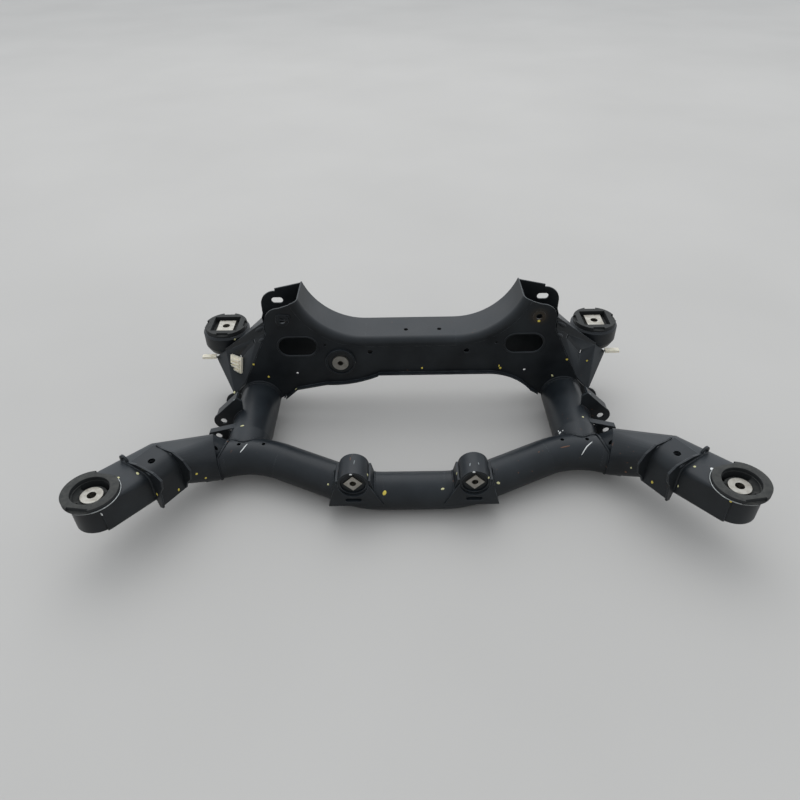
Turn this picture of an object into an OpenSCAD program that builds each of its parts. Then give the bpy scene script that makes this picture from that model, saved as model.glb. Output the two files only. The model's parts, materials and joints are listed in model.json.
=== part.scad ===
// Rear suspension subframe: welded steel tubes and pressings with rubber bushes.
// Millimetres. +X to the right, +Y from the cross tube to the crossmember, +Z up.
// The origin is on the floor, below the middle of the outline.

/* [Body mounts] */
// Half distance between the near body mounts
near_x = 572; // [540:1:600]
// Place of the near body mounts along Y
near_y = -255; // [-270:1:-240]
// Height of the near housings' top rims
near_top = 152; // [140:1:165]
// Height of a near housing
near_h = 58; // [52:1:66]
// Outside diameter of a near housing
near_od = 82; // [78:1:90]
// Outside diameter of a near bush's rubber flange
near_flange_od = 100; // [94:1:106]
// Wall of a near housing
near_wall = 4; // [3:0.5:6]
// Half distance between the far body mounts
far_x = 431; // [415:1:445]
// Place of the far body mounts along Y
far_y = 252; // [246:1:258]
// Height of the far cups' top rims
far_top = 180; // [170:1:190]
// Height of a far cup
far_h = 48; // [40:1:56]
// Outside diameter of a far cup
far_od = 106; // [100:1:110]
// Diameter of the bore of a far cup
far_bore = 85; // [80:1:88]
// Diameter of the body bolt bores
body_bore = 16.5; // [12.5:0.5:18]

/* [Cross tube] */
// Outside diameter of the cross tube
cross_od = 76; // [68:1:84]
// Wall of the cross tube
cross_wall = 4; // [2.5:0.5:6]
// Place of the cross tube's middle along Y
cross_y = -148; // [-155:1:-140]
// Half length of the straight middle
cross_mid = 60; // [50:1:70]
// Centreline radius of the bends
bend_r = 180; // [160:5:200]
// First bend, towards the crossmember
bend_back = 24; // [20:1:27]
// Second bend, towards the near mounts
bend_out = 40; // [36:1:44]
// Straight length between the bends
cross_leg = 150; // [135:1:160]
// Straight length inside the arm
cross_stub = 45; // [40:1:55]
// Tilt of the tube's plane, ends up
cross_tilt = 8.6; // [6:0.2:11]

/* [Side tubes] */
// Outside diameter of a side tube
side_od = 90; // [80:1:96]
// Wall of a side tube
side_wall = 4; // [2.5:0.5:6]
// Half distance between the side tubes
side_x = 350; // [340:1:360]
// Height of the side tubes' axes
side_z = 50; // [48:1:55]
// Place where the side tube starts to neck down to the cross tube
neck_y = -8; // [-15:1:0]

/* [Arms] */
// Sheet of the arms
arm_sheet = 3.5; // [2.5:0.5:5]
// Outside diameter of an arm's mouth
arm_mouth_od = 97; // [94:1:100]
// Distance of the mouth's centre from the tube's axis, up and back
mouth_rise = 6.5; // [5:0.5:7]
// Share of the way from the mouth to the mount where the arm's waist lies
waist_at = 0.4; // [0.3:0.05:0.5]
// Distance of the waist from the straight line, outwards
waist_bow = 20; // [12:1:26]
// Lift of the waist above the straight line
waist_lift = 16; // [10:1:20]
// Width of the waist
waist_w = 94; // [86:1:104]
// Height of the waist
waist_h = 76; // [68:1:84]
// Radius of the waist's corners
waist_r = 26; // [18:1:32]
// Diameter of the hole in the arm's top
arm_hole = 14; // [8:1:16]

/* [Arm brackets] */
// Sheet of the saddle plates
saddle_sheet = 4; // [3:0.5:6]
// Distance of the outer saddle plate from the near mount
saddle_outer = 91; // [84:1:98]
// Distance of the inner saddle plate from the near mount
saddle_inner = 152; // [146:1:158]
// Sheet of the saddle skin between the plates
skin_sheet = 3; // [2:0.5:4]
// Diameter of the link bolt holes
link_bore = 14; // [10:0.5:16]

/* [Crossmember] */
// Place of the front wall's front face along Y
wall_front = 150; // [145:1:155]
// Depth from the front face to the rear face
wall_depth = 92; // [84:1:100]
// Sheet of the crossmember pressings
sheet = 3; // [2:0.5:4]
// Height of the crossmember's top in the middle
top_z = 206; // [198:1:212]
// Height of the crossmember's lower edge in the middle
low_z = 113; // [105:1:120]
// Half length of the straight top
top_flat = 100; // [92:1:106]
// Radius of the curves up to the towers
top_r = 150; // [144:1:156]
// Sweep of the curves up to the towers
top_sweep = 69; // [66:1:72]
// Radius of the fold between top and walls
fold_r = 14; // [8:1:18]
// Height of the tower walls
tower_z = 300; // [290:1:302]
// Half width over the tower's front walls
tower_front = 316; // [312:1:320]
// Half width over the tower's rear walls
tower_rear = 338; // [332:1:344]
// Height of the shoulders where the outer edges start to slope
shoulder_z = 224; // [218:1:230]
// Half width of the walls at the foot of the sloping edges
skirt_x = 384; // [378:1:390]
// Height of the link bolt in the towers
tower_bolt_z = 257; // [250:1:264]
// Half distance between the tower bolts
tower_bolt_x = 288; // [280:1:295]
// Length of the ovals in the front wall
oval_w = 85; // [78:1:90]
// Height of the ovals in the front wall
oval_h = 48; // [42:1:52]
// Width of the lip along the lower edges
lip = 9; // [5:1:14]

/* [Differential bushes] */
// Half distance between the rear differential bushes
diff_x = 117; // [110:1:125]
// Height of the rear differential bushes
diff_z = 90; // [85:1:96]
// Place of the rear bushes' front faces along Y
diff_front = -180; // [-190:1:-175]
// Length of a rear differential bush
diff_len = 54; // [46:1:60]
// Outside diameter of a rear differential bush
diff_od = 59; // [54:1:64]
// Side of the square core
diff_core = 26; // [22:1:30]
// Bolt bore of all differential bushes
diff_bore = 12.5; // [10:0.5:14]
// Place of the nose bush along X
nose_x = -158; // [-165:1:-150]
// Height of the nose bush
nose_z = 148; // [142:1:152]
// Outside diameter of the nose bush
nose_od = 67; // [60:1:72]

/* [Lower links] */
// Half distance between the ears' bolts
ear_x = 417; // [410:1:424]
// Height of the ears' bolts
ear_z = 61; // [55:1:66]
// Place of the rear ear along Y
ear_rear = 50; // [44:1:56]
// Gap between the ears
ear_gap = 46; // [42:1:50]
// Sheet of the ears
ear_sheet = 4; // [3:0.5:5]
// Radius of the ears round their bolts
ear_r = 21; // [18:1:24]
// Half distance between the spring link bolts
spring_x = 410; // [404:1:416]
// Height of the spring link bolts
spring_z = 36; // [32:1:42]
// Radius of the spring link ears
spring_r = 26; // [22:1:30]

/* [Fits] */
// Clearance between curved faces that seat on each other
seat = 0.2; // [0.1:0.05:0.3]

/* [Hidden] */
$fn = 64;
left = -1;
right = 1;
past = 1;

paint = "#23282b";
pressing = "#2b3135";
rubber = "#303032";
zinc = "#b9bcba";
nylon = "#e8e1cd";

// Path of the cross tube in its own plane, from the middle outwards
mark = seat / 2;
cross_z = cross_od / 2 + mark;
bend1 = [cross_mid + bend_r * sin(bend_back), bend_r * (1 - cos(bend_back))];
leg = bend1 + cross_leg * [cos(bend_back), sin(bend_back)];
end_turn = bend_out - bend_back;
bend2 = leg + bend_r * [sin(bend_back) + sin(end_turn), cos(end_turn) - cos(bend_back)];
function on_cross(p) = [p[0], cross_y + p[1] * cos(cross_tilt), cross_z + p[1] * sin(cross_tilt)];
side_foot = on_cross([side_x, bend2[1]]);

// Location holes in the top of the bent tube, near the side tubes
tube_hole_x = [307, 358, 401];
tube_hole_back = 4;
tube_hole_d = 8;

// Ring tab at the rear end of the outer saddle plate
tab_u = -23;
tab_v = 41;
tab_r = 11;
saddle_slot_w = 15;
saddle_slot_h = 5;

// Arm stations
mouth_in = 15;
mouth = on_cross(bend2 + mouth_in * [cos(end_turn), -sin(end_turn)]) + [0, mouth_rise, mouth_rise];
near_low = near_top - near_h;
near_mid_z = near_top - near_h / 2;
mount = [near_x, near_y, near_mid_z];
arm_run = mount - mouth;
arm_turn = atan2(arm_run[1], arm_run[0]);
waist = mouth + waist_at * arm_run + waist_bow * [-sin(arm_turn), cos(arm_turn), 0] + [0, 0, waist_lift];
end_run = mount - waist;
end_heading = atan2(end_run[1], end_run[0]);
waist_rise = atan2(end_run[2], norm([end_run[0], end_run[1]]));
sight_along = 0.25;
sight_across = -22.5;
mouth_len = 10;
mouth_wall = 6;

// Crossmember levels
wall_rear = wall_front + wall_depth;
curve_z = top_z + top_r;
tower_in = top_flat + top_r * sin(top_sweep);
fold_leg = 6;
fold_step = 0.3;
tower_r = 34;
tower_drop = 14;
skirt_z = 86;
spring_foot = 20;
spring_rise = 6;
arch_r = 130;
arch_flat = 175;
arch_turn = 52;
arch_end = [arch_flat + arch_r * sin(arch_turn), low_z - arch_r * (1 - cos(arch_turn))];
lobe_r = 250;
lobe_z = nose_z - 60;
lobe_shift = 20;
lobe_half = 104;
lobe_near = 32;
lobe_far = 134;
lip_half = 296;
oval_x = 251;
oval_z = 189;
boss_od = 28;
boss_t = 2;
boss_in = 11;
drain_x = 190;
drain_z = 192;
drain_d = 7;
pilot_left = -91;
pilot_right = 125;
pilot_z = 172;
pilot_d = 12;
low_hole_x = 259;
low_hole_z = 117;
low_hole_d = 6;
band_hole_x = [-10, 65];
band_hole_y = 38;
band_hole_d = 10;
slot_out = 12;
slot_w = 26;

module on_side(side) {
    if (side == left) mirror([1, 0, 0]) children();
    else children();
}

module along_x(from) {
    translate(from) rotate([0, 90, 0]) children();
}

// A plate in the XZ plane whose front face is at y
module wall(y, t) {
    translate([0, y + t, 0]) rotate([90, 0, 0]) linear_extrude(t) children();
}

module bolt_hole(x, z, d, y0, y1) {
    translate([x, y0, z]) rotate([-90, 0, 0]) cylinder(d = d, h = y1 - y0);
}

module turned(od, id, z0, z1) {
    translate([0, 0, z0]) difference() {
        cylinder(d = od, h = z1 - z0);
        translate([0, 0, -past]) cylinder(d = id, h = z1 - z0 + 2 * past);
    }
}

// Right half of the bent tube beyond the straight middle, in its own plane
module half_path(extra) {
    translate([cross_mid, bend_r, 0]) rotate([0, 0, -90])
        rotate_extrude(angle = bend_back) translate([bend_r, 0]) children();
    translate([bend1[0], bend1[1], 0]) rotate([0, 0, bend_back])
        along_x([0, 0, 0]) linear_extrude(cross_leg) children();
    translate([leg[0], leg[1], 0]) rotate([0, 0, bend_back]) translate([0, -bend_r, 0])
        rotate([0, 0, 90 - bend_out]) rotate_extrude(angle = bend_out) translate([bend_r, 0]) children();
    translate([bend2[0], bend2[1], 0]) rotate([0, 0, -end_turn])
        along_x([0, 0, 0]) linear_extrude(cross_stub + extra) children();
}

// The section given as child, swept along the whole tube
module cross_path(extra) {
    translate([0, cross_y, cross_z]) rotate([cross_tilt, 0, 0]) {
        along_x([-cross_mid, 0, 0]) linear_extrude(2 * cross_mid) children();
        half_path(extra) children();
        mirror([1, 0, 0]) half_path(extra) children();
    }
}

module cross_solid(d, extra = 0) {
    cross_path(extra) circle(d = d);
}

// Faint ring that stands in the wall where a bend starts or ends
module bend_mark() {
    len = 2;
    translate([0, 0, -len / 2]) linear_extrude(len) difference() {
        circle(d = cross_od + 2 * mark);
        circle(d = cross_od - 2 * cross_wall - 2 * mark);
    }
}

module half_marks() {
    along_x([cross_mid, 0, 0]) bend_mark();
    translate([bend1[0], bend1[1], 0]) rotate([0, 0, bend_back]) along_x([0, 0, 0]) bend_mark();
    translate([leg[0], leg[1], 0]) rotate([0, 0, bend_back]) along_x([0, 0, 0]) bend_mark();
    translate([bend2[0], bend2[1], 0]) rotate([0, 0, -end_turn]) along_x([0, 0, 0]) bend_mark();
}

module cross_tube() {
    color(paint) difference() {
        union() {
            cross_path(0) difference() {
                circle(d = cross_od);
                circle(d = cross_od - 2 * cross_wall);
            }
            translate([0, cross_y, cross_z]) rotate([cross_tilt, 0, 0]) {
                half_marks();
                mirror([1, 0, 0]) half_marks();
            }
        }
        for (s = [left, right], x = tube_hole_x)
            translate([s * x, side_foot[1] + tube_hole_back, side_foot[2]])
                cylinder(d = tube_hole_d, h = cross_od);
    }
}

// Straight tube that necks down to the cross tube's diameter
module side_solid(d, neck_d, y1) {
    translate([side_x, neck_y, side_z]) rotate([-90, 0, 0]) cylinder(d = d, h = y1 - neck_y);
    translate([side_x, side_foot[1], side_z]) rotate([-90, 0, 0])
        cylinder(d1 = neck_d, d2 = d, h = neck_y - side_foot[1]);
}

module side_tube(side) {
    color(paint) on_side(side) difference() {
        side_solid(side_od, cross_od, wall_front);
        side_solid(side_od - 2 * side_wall, cross_od - 2 * side_wall, wall_front + past);
        cross_solid(cross_od + 2 * seat);
    }
}

// Round slab at the arm's mouth, square to the tube
module mouth_slab(d, from, len) {
    translate(mouth) rotate([0, 0, -end_turn]) along_x([from, 0, 0]) cylinder(d = d, h = len, $fn = 48);
}

// Rounded slab at the waist, square to the arm
module waist_slab(shrink) {
    half_w = waist_w / 2 - waist_r;
    half_h = waist_h / 2 - waist_r;
    translate(waist) rotate([0, 0, end_heading]) rotate([0, -waist_rise, 0])
        for (u = [-half_w, half_w], v = [-half_h, half_h])
            along_x([0, u, v]) cylinder(r = waist_r - shrink, h = 1, $fn = 32);
}

module mount_slab(shrink) {
    translate([near_x, near_y, near_low + shrink])
        cylinder(d = near_od + 2 * arm_sheet - 2 * shrink, h = near_h - 2 * shrink, $fn = 64);
}

module arm_solid(shrink = 0) {
    hull() {
        mouth_slab(arm_mouth_od - 2 * shrink, shrink == 0 ? 0 : mouth_wall, mouth_len);
        waist_slab(shrink);
    }
    hull() {
        waist_slab(shrink);
        mount_slab(shrink);
    }
}

module arm(side) {
    lap = 14;
    cut = 2 * near_od;
    color(paint) on_side(side) difference() {
        arm_solid();
        arm_solid(arm_sheet);
        cross_solid(cross_od + 2 * seat, mouth_len);
        translate([near_x, near_y, near_low - near_h])
            cylinder(d = near_od + 2 * seat, h = 2 * near_h + past);
        translate([near_x, near_y, near_mid_z]) rotate([0, 0, end_heading])
            translate([lap, -cut / 2, -cut / 2]) cube(cut);
        sight_hole();
    }
}

// Round hole in the top of the arm and in the skin over it
module sight_hole() {
    at = waist + sight_along * end_run + sight_across * [-sin(end_heading), cos(end_heading), 0];
    translate(at) cylinder(d = arm_hole, h = near_od);
}

module near_housing(side) {
    color(paint) on_side(side) translate([near_x, near_y, 0])
        turned(near_od, near_od - 2 * near_wall, near_low, near_top);
}

near_can_od = near_od - 2 * near_wall - 2 * seat;
near_can_wall = 2.5;
near_rubber_od = near_can_od - 2 * near_can_wall - 2 * seat;
near_sleeve_od = 40;
near_flange = 8;
near_recess = 16;
near_ledge = 12;
near_drop = 4;

module near_can(side) {
    color(zinc) on_side(side) translate([near_x, near_y, 0])
        turned(near_can_od, near_can_od - 2 * near_can_wall, near_low, near_top);
}

module near_rubber(side) {
    lip_r = near_flange_od / 2;
    bowl_r = near_sleeve_od / 2 + near_ledge;
    slot_w = 7;
    slot_in = near_sleeve_od / 2 + near_ledge / 2;
    slot_sweep = 110;
    slot_from = [35, 215];
    notch = 44;
    all_h = near_h + near_flange + 2 * past;
    color(rubber) on_side(side) translate([near_x, near_y, 0]) difference() {
        union() {
            translate([0, 0, near_low]) cylinder(d = near_rubber_od, h = near_h);
            translate([0, 0, near_top]) cylinder(r = lip_r, h = near_flange);
        }
        translate([0, 0, near_low - past]) cylinder(d = near_sleeve_od + 2 * seat, h = all_h);
        translate([0, 0, near_top - near_recess + near_flange]) cylinder(r = bowl_r, h = near_h);
        for (a = slot_from) rotate([0, 0, a]) translate([0, 0, near_low - past])
            rotate_extrude(angle = slot_sweep) translate([slot_in, 0]) square([slot_w, all_h]);
        for (a = [0, 180]) rotate([0, 0, end_heading + a])
            translate([0, -notch / 2, near_top + near_flange / 2]) cube([near_od, notch, near_flange]);
    }
}

module near_sleeve(side) {
    color(zinc) on_side(side) translate([near_x, near_y, 0])
        turned(near_sleeve_od, body_bore, near_low - near_drop, near_top - near_drop);
}

// Frame on the arm's axis at a distance from the near mount: u to the near side, v up
module on_arm(from_mount) {
    at = mount - from_mount / norm(end_run) * end_run;
    translate(at) rotate([0, 0, end_heading]) rotate([90, 0, -90]) children();
}

// Upright plate across the arm, with a slot near its top edge
module saddle_plate(points, slot_u, slot_v) {
    translate([0, 0, -saddle_sheet / 2]) difference() {
        union() {
            linear_extrude(saddle_sheet) polygon(points);
            children();
        }
        translate([0, 0, -past]) linear_extrude(saddle_sheet + 2 * past)
            oval(slot_u, slot_v, saddle_slot_w, saddle_slot_h);
    }
}

// Outer plate: ring tab at the rear end, wide flange over the near top corner, foot in front
module saddle_outer_plate(side) {
    rear_top = [-24, 38];
    front_top = [60, 49];
    front = [79, 39];
    foot = [57, -44];
    color(pressing) on_side(side) difference() {
        on_arm(saddle_outer) difference() {
            saddle_plate([
                [rear_top[0], 24], rear_top, [14, 48], front_top, front,
                [front[0] - 5, 16], [62, -2], foot, foot - [9, 2], [42, -20]
            ], 44, 42) translate([tab_u, tab_v, 0]) cylinder(r = tab_r, h = saddle_sheet);
            translate([tab_u, tab_v, -saddle_sheet]) cylinder(d = tab_r, h = 2 * saddle_sheet);
        }
        arm_solid();
    }
}

module saddle_inner_plate(side) {
    rear_top = [-3, 52];
    front_top = [42, 55];
    front = [82, 26];
    foot = [54, -34];
    color(pressing) on_side(side) difference() {
        on_arm(saddle_inner) saddle_plate([
            [rear_top[0] - 5, 36], rear_top, [8, 50], front_top, [68, 45], front,
            [front[0] - 6, 0], [62, -16], foot, foot - [10, 0], [40, 0]
        ], 32, 47);
        arm_solid();
    }
}

// Skin over the arm between the two plates, with a skirt that hangs in front
module saddle_skin(side) {
    len = (saddle_inner - saddle_outer) * cos(waist_rise) - saddle_sheet - 2 * seat;
    over = 40;
    back = 10;
    front = 53;
    r = 28;
    low = -44;
    color(pressing) on_side(side) difference() {
        on_arm(saddle_outer) translate([0, 0, saddle_sheet / 2 + seat]) linear_extrude(len) {
            translate([-back, over - skin_sheet]) square([back + front - r, skin_sheet]);
            translate([front - skin_sheet, low]) square([skin_sheet, over - r - low]);
            translate([front - r, over - r]) intersection() {
                difference() {
                    circle(r = r);
                    circle(r = r - skin_sheet);
                }
                square(r);
            }
        }
        arm_solid();
        sight_hole();
    }
}

// Outline of both crossmember walls, right half: tower, sloping outer edge and spring link ear
module wall_half(tower_out) {
    polygon([
        [0, low_z], [0, top_z - fold_r], [top_flat, top_z - fold_r], [top_flat, tower_z], [tower_in, tower_z],
        [tower_out - tower_r, tower_z - tower_drop], [tower_out, tower_z - tower_drop - tower_r],
        [tower_out, shoulder_z], [skirt_x, skirt_z], [spring_x + spring_r, spring_z],
        [spring_x + spring_foot, 0], [spring_x - spring_foot, 0], [spring_x - 2 * spring_foot, spring_rise],
        arch_end, [arch_flat, low_z]
    ]);
    translate([tower_out - tower_r, tower_z - tower_drop - tower_r]) circle(r = tower_r);
    translate([spring_x, spring_z]) circle(r = spring_r);
}

// Space under the arch of the lower edge
module arch() {
    translate([-arch_flat, low_z - 2 * arch_r]) square([2 * arch_flat, 2 * arch_r]);
    for (s = [left, right]) translate([s * arch_flat, low_z - arch_r]) circle(r = arch_r);
}

module wall_outline(tower_out) {
    difference() {
        for (s = [left, right]) mirror([s == left ? 1 : 0, 0]) wall_half(tower_out);
        arch();
    }
    // Deeper stretch below the nose bush
    polygon([
        [nose_x - lobe_near, lobe_z + 1], [nose_x - lobe_half, lobe_z - 13], [nose_x - lobe_far, lobe_z - 40],
        [nose_x - lobe_far, low_z], [nose_x - lobe_near, low_z]
    ]);
    intersection() {
        translate([nose_x - lobe_shift, lobe_z + lobe_r]) circle(r = lobe_r, $fn = 128);
        translate([nose_x - lobe_shift - lobe_half, lobe_z]) square([2 * lobe_half, low_z - lobe_z + sheet]);
    }
}

// Narrow strip along the lower edge, between the side tubes
module lip_outline(tower_out) {
    intersection() {
        difference() {
            wall_outline(tower_out);
            translate([0, sheet]) wall_outline(tower_out);
        }
        translate([-lip_half, 0]) square([2 * lip_half, low_z + sheet]);
    }
}

// Rectangle with its first corner rounded
module round_corner(w, d, r) {
    difference() {
        square([w, d]);
        difference() {
            translate([-past, -past]) square(r + past);
            translate([r, r]) circle(r = r);
        }
    }
}

// Fold from the top to a wall: r grows away from the curve's centre, y along the depth
module fold_profile(grow) {
    difference() {
        translate([-grow, -grow])
            round_corner(fold_r + fold_leg + 2 * grow, wall_depth + 2 * grow, fold_r + grow);
        translate([sheet + grow, sheet + grow])
            round_corner(fold_r + fold_leg, wall_depth, fold_r - sheet - grow);
    }
}

// Straight length of the folded top
module top_run(x, len, grow) {
    translate([x, wall_front - fold_step, top_z]) rotate([0, 90, 0]) linear_extrude(len) fold_profile(grow);
}

// Curved top of the crossmember, folded into the front wall, with a faint ridge where each curve starts
module saddle_top() {
    top_run(-top_flat, 2 * top_flat, 0);
    for (s = [left, right]) {
        top_run(s * top_flat - 1, 2, mark);
        on_side(s) translate([top_flat, wall_front - fold_step, curve_z]) rotate([-90, 0, 0])
            rotate([0, 0, 90 - top_sweep])
                rotate_extrude(angle = top_sweep) translate([top_r, 0]) fold_profile(0);
    }
}

// Space inside the curve of the top; the flat and the curves overlap by a step that the fold covers
module top_space(clear, step) {
    deep = wall_depth + 2 * past;
    translate([-top_flat, wall_front - past, top_z - clear]) cube([2 * top_flat, deep, 2 * top_r]);
    for (s = [left, right]) translate([s * top_flat, wall_front - past, curve_z]) rotate([-90, 0, 0])
        cylinder(r = top_r + clear + step, h = deep, $fn = 128);
}

module oval(x, z, w, h) {
    translate([x, z]) {
        square([w - h, h], center = true);
        for (s = [left, right]) translate([s * (w - h) / 2, 0]) circle(d = h);
    }
}

module crossmember_front() {
    y0 = wall_front - past;
    y1 = wall_front + sheet + past;
    boss_x = tower_bolt_x - boss_in;
    color(pressing) difference() {
        union() {
            difference() {
                wall(wall_front, sheet) wall_outline(tower_front);
                top_space(fold_r + fold_leg / 4, fold_leg / 2);
            }
            saddle_top();
            wall(wall_front - lip, lip) lip_outline(tower_front);
            for (s = [left, right]) translate([s * boss_x, wall_front - boss_t, tower_bolt_z])
                rotate([-90, 0, 0]) cylinder(d = boss_od, h = boss_t + sheet);
        }
        for (s = [left, right]) {
            wall(y0, sheet + 2 * past) oval(s * oval_x, oval_z, oval_w, oval_h);
            bolt_hole(s * spring_x, spring_z, link_bore, y0, y1);
            bolt_hole(s * boss_x, tower_bolt_z, link_bore, y0 - boss_t, y1);
            bolt_hole(s * drain_x, drain_z, drain_d, y0, y1);
            bolt_hole(s * low_hole_x, low_hole_z, low_hole_d, y0, y1);
            bolt_hole((s == left ? pilot_left : pilot_right), pilot_z, pilot_d, y0, y1);
        }
        bolt_hole(nose_x, nose_z, nose_od + 2 * seat, y0 - lip, y1);
        for (x = band_hole_x) translate([x, wall_front + band_hole_y, top_z - fold_r])
            cylinder(d = band_hole_d, h = 2 * fold_r);
    }
}

module crossmember_rear() {
    y = wall_rear - sheet;
    color(pressing) difference() {
        union() {
            difference() {
                wall(y, sheet) wall_outline(tower_rear);
                top_space(sheet + seat, seat);
            }
            wall(y - lip, lip) lip_outline(tower_rear);
        }
        for (s = [left, right]) {
            wall(y - past, sheet + 2 * past)
                oval(s * (tower_bolt_x + slot_out), tower_bolt_z, slot_w, link_bore);
            bolt_hole(s * spring_x, spring_z, link_bore, y - past, wall_rear + past);
        }
        bolt_hole(nose_x, nose_z, nose_od + 2 * seat, y - lip - past, wall_rear + past);
    }
}

plate_down = 34;
plate_z = far_top - plate_down;
plate_t = 4;
plate_wing = [44, 28];
plate_nose = [12, 24];

// Corners of the corner panel's folds
panel_outer = [far_x - 6, far_y - 57];
panel_half = sheet / 2 + seat;
panel_foot = [side_x + 48, wall_front - 42, side_z + 42];
panel_side = [far_x + 21, far_y - 48, plate_z - 18];
panel_front = [tower_front + panel_half, wall_front + panel_half, shoulder_z];
panel_rear = [tower_rear + panel_half, wall_rear - panel_half, shoulder_z];
panel_low = [edge_x(tower_front, panel_foot[2]) + panel_half, wall_front + panel_half, panel_foot[2]];
panel_top = [panel_outer[0], panel_outer[1], plate_z + plate_t + panel_half];

// Point on the panel's largest face, from the shares of its front, top and low corners
function panel_at(front, top, low) = front * panel_front + top * panel_top + low * panel_low;

// Slots in the panel's largest face
panel_slot = [10, 5];
panel_slot_turn = 60;
panel_slot_high = panel_at(0.7, 0.23, 0.07);
panel_slot_low = panel_at(0.24, 0.45, 0.31);

// Outer edge of a crossmember wall at a height
function edge_x(tower_out, z) = tower_out + (skirt_x - tower_out) * (shoulder_z - z) / (shoulder_z - skirt_z);

// Plate that carries the far cup, from the rear wall's edge to the cup
module mount_plate(side) {
    from_x = edge_x(tower_rear, plate_z) + seat;
    front_y = panel_outer[1] + 2 * panel_half + seat;
    color(pressing) on_side(side) translate([0, 0, plate_z]) linear_extrude(plate_t) difference() {
        polygon([
            [from_x, front_y + plate_t], [from_x, far_y], [far_x - plate_wing[0], far_y + plate_wing[1]],
            [far_x, far_y], [far_x + plate_nose[0], front_y], [panel_outer[0] - plate_nose[1], front_y]
        ]);
        translate([far_x, far_y]) circle(d = far_od + 2 * seat);
    }
}

// A triangular piece of sheet between three corners
module gore(a, b, c) {
    hull() for (p = [a, b, c]) translate(p) sphere(d = sheet, $fn = 16);
}

// Frame on the plane through three corners of the panel: u level, v up the plane, w outwards
module on_panel(a, b, c, at) {
    out = cross(c - a, b - a);
    w = out / norm(out);
    level = cross([0, 0, 1], w);
    u = level / norm(level);
    v = cross(w, u);
    multmatrix([
        [u[0], v[0], w[0], at[0]], [u[1], v[1], w[1], at[1]], [u[2], v[2], w[2], at[2]], [0, 0, 0, 1]
    ]) children();
}

// Folded panel from the tower's outer edge to the mount plate and the side tube
module corner_panel(side) {
    color(pressing) on_side(side) difference() {
        union() {
            gore(panel_front, panel_rear, panel_top);
            gore(panel_front, panel_top, panel_low);
            gore(panel_top, panel_low, panel_foot);
            gore(panel_top, panel_side, panel_foot);
        }
        translate([far_x, far_y, plate_z]) cylinder(d = far_od + 2 * seat, h = far_h);
        for (at = [panel_slot_high, panel_slot_low]) on_panel(panel_front, panel_top, panel_low, at)
            translate([0, 0, -panel_slot[1]]) linear_extrude(2 * panel_slot[1])
                rotate(panel_slot_turn) oval(0, 0, panel_slot[0], panel_slot[1]);
    }
}

far_can_od = far_bore - 2 * seat;
far_can_wall = 2;
far_rubber_od = far_can_od - 2 * far_can_wall - 2 * seat;
far_flange_od = 97;
far_flange = 10;
far_sleeve_od = 34;
far_drop = 4;

// Bowl with a straight bore
module far_cup(side) {
    foot_wall = 3.5;
    foot_r = far_bore / 2 + foot_wall;
    foot_h = 14;
    rim_h = 4;
    low = far_top - far_h;
    color(paint) on_side(side) translate([far_x, far_y, 0]) rotate_extrude() polygon([
        [far_bore / 2, low], [foot_r, low], [far_od / 2, low + foot_h],
        [far_od / 2, far_top - rim_h], [far_od / 2 - rim_h, far_top], [far_bore / 2, far_top]
    ]);
}

module far_can(side) {
    color(zinc) on_side(side) translate([far_x, far_y, 0])
        turned(far_can_od, far_can_od - 2 * far_can_wall, far_top - far_h, far_top);
}

module far_rubber(side) {
    well = 60;
    notch = 26;
    notch_deep = 7;
    low = far_top - far_h;
    all_h = far_h + far_flange + 2 * past;
    color(rubber) on_side(side) translate([far_x, far_y, 0]) difference() {
        union() {
            translate([0, 0, low]) cylinder(d = far_rubber_od, h = far_h);
            translate([0, 0, far_top]) cylinder(d = far_flange_od, h = far_flange);
        }
        translate([0, 0, low - past]) cylinder(d = far_sleeve_od + 2 * seat, h = all_h);
        translate([-well / 2, -well / 2, far_top - far_drop]) cube([well, well, all_h]);
        for (a = [0, 90, 180, 270]) rotate([0, 0, a])
            translate([far_flange_od / 2 - notch_deep, -notch / 2, far_top + far_flange / 2])
                cube([notch, notch, far_flange]);
    }
}

module far_sleeve(side) {
    pad_x = 38;
    pad_y = 46;
    pad_t = 8;
    low = far_top - far_h - far_drop;
    color(zinc) on_side(side) translate([far_x, far_y, 0]) difference() {
        union() {
            translate([0, 0, low]) cylinder(d = far_sleeve_od, h = far_h);
            translate([-pad_x / 2, -pad_y / 2, far_top - far_drop]) cube([pad_x, pad_y, pad_t]);
        }
        translate([0, 0, low - past]) cylinder(d = body_bore, h = far_h + pad_t + 2 * past);
    }
}

ear_out = 13;
ear_up = 16;

// Ear of the lower link, from inside the side tube out round its bolt
module ear_outline(corner) {
    inner = side_od / 2;
    difference() {
        union() {
            translate([ear_x, ear_z]) circle(r = ear_r);
            polygon([
                [side_x + 0.45 * inner, side_z + 0.65 * inner], corner - [12, 8], corner,
                [ear_x + ear_out, ear_z + ear_up], [ear_x + 8, ear_z - 19],
                [ear_x - 30, ear_z - 24], [side_x + 0.6 * inner, side_z - 0.25 * inner]
            ]);
        }
        translate([ear_x, ear_z]) circle(d = link_bore);
    }
}

// Strip of sheet along an edge from a to b, below the edge
module edge_strip(a, b, t) {
    run = b - a;
    translate(a) rotate(atan2(run[1], run[0])) translate([0, -t]) square([norm(run), t]);
}

module link_ear_front(side) {
    y = ear_rear - ear_gap - ear_sheet;
    flange = 14;
    a = [side_x + 30, ear_z + 23];
    b = [ear_x + ear_r - 2, ear_z + 9];
    top_a = [side_x, ear_z + 29];
    top_b = [side_x + 2 * (ear_x - side_x), ear_z - 4];
    color(pressing) on_side(side) difference() {
        union() {
            wall(y, ear_sheet) intersection() {
                ear_outline([ear_x - 14, ear_z + 20]);
                edge_strip(top_a, top_b, 4 * ear_r);
            }
            wall(y, flange) edge_strip(a, b, ear_sheet);
        }
        side_solid(side_od + 2 * seat, cross_od + 2 * seat, wall_front);
    }
}

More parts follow.
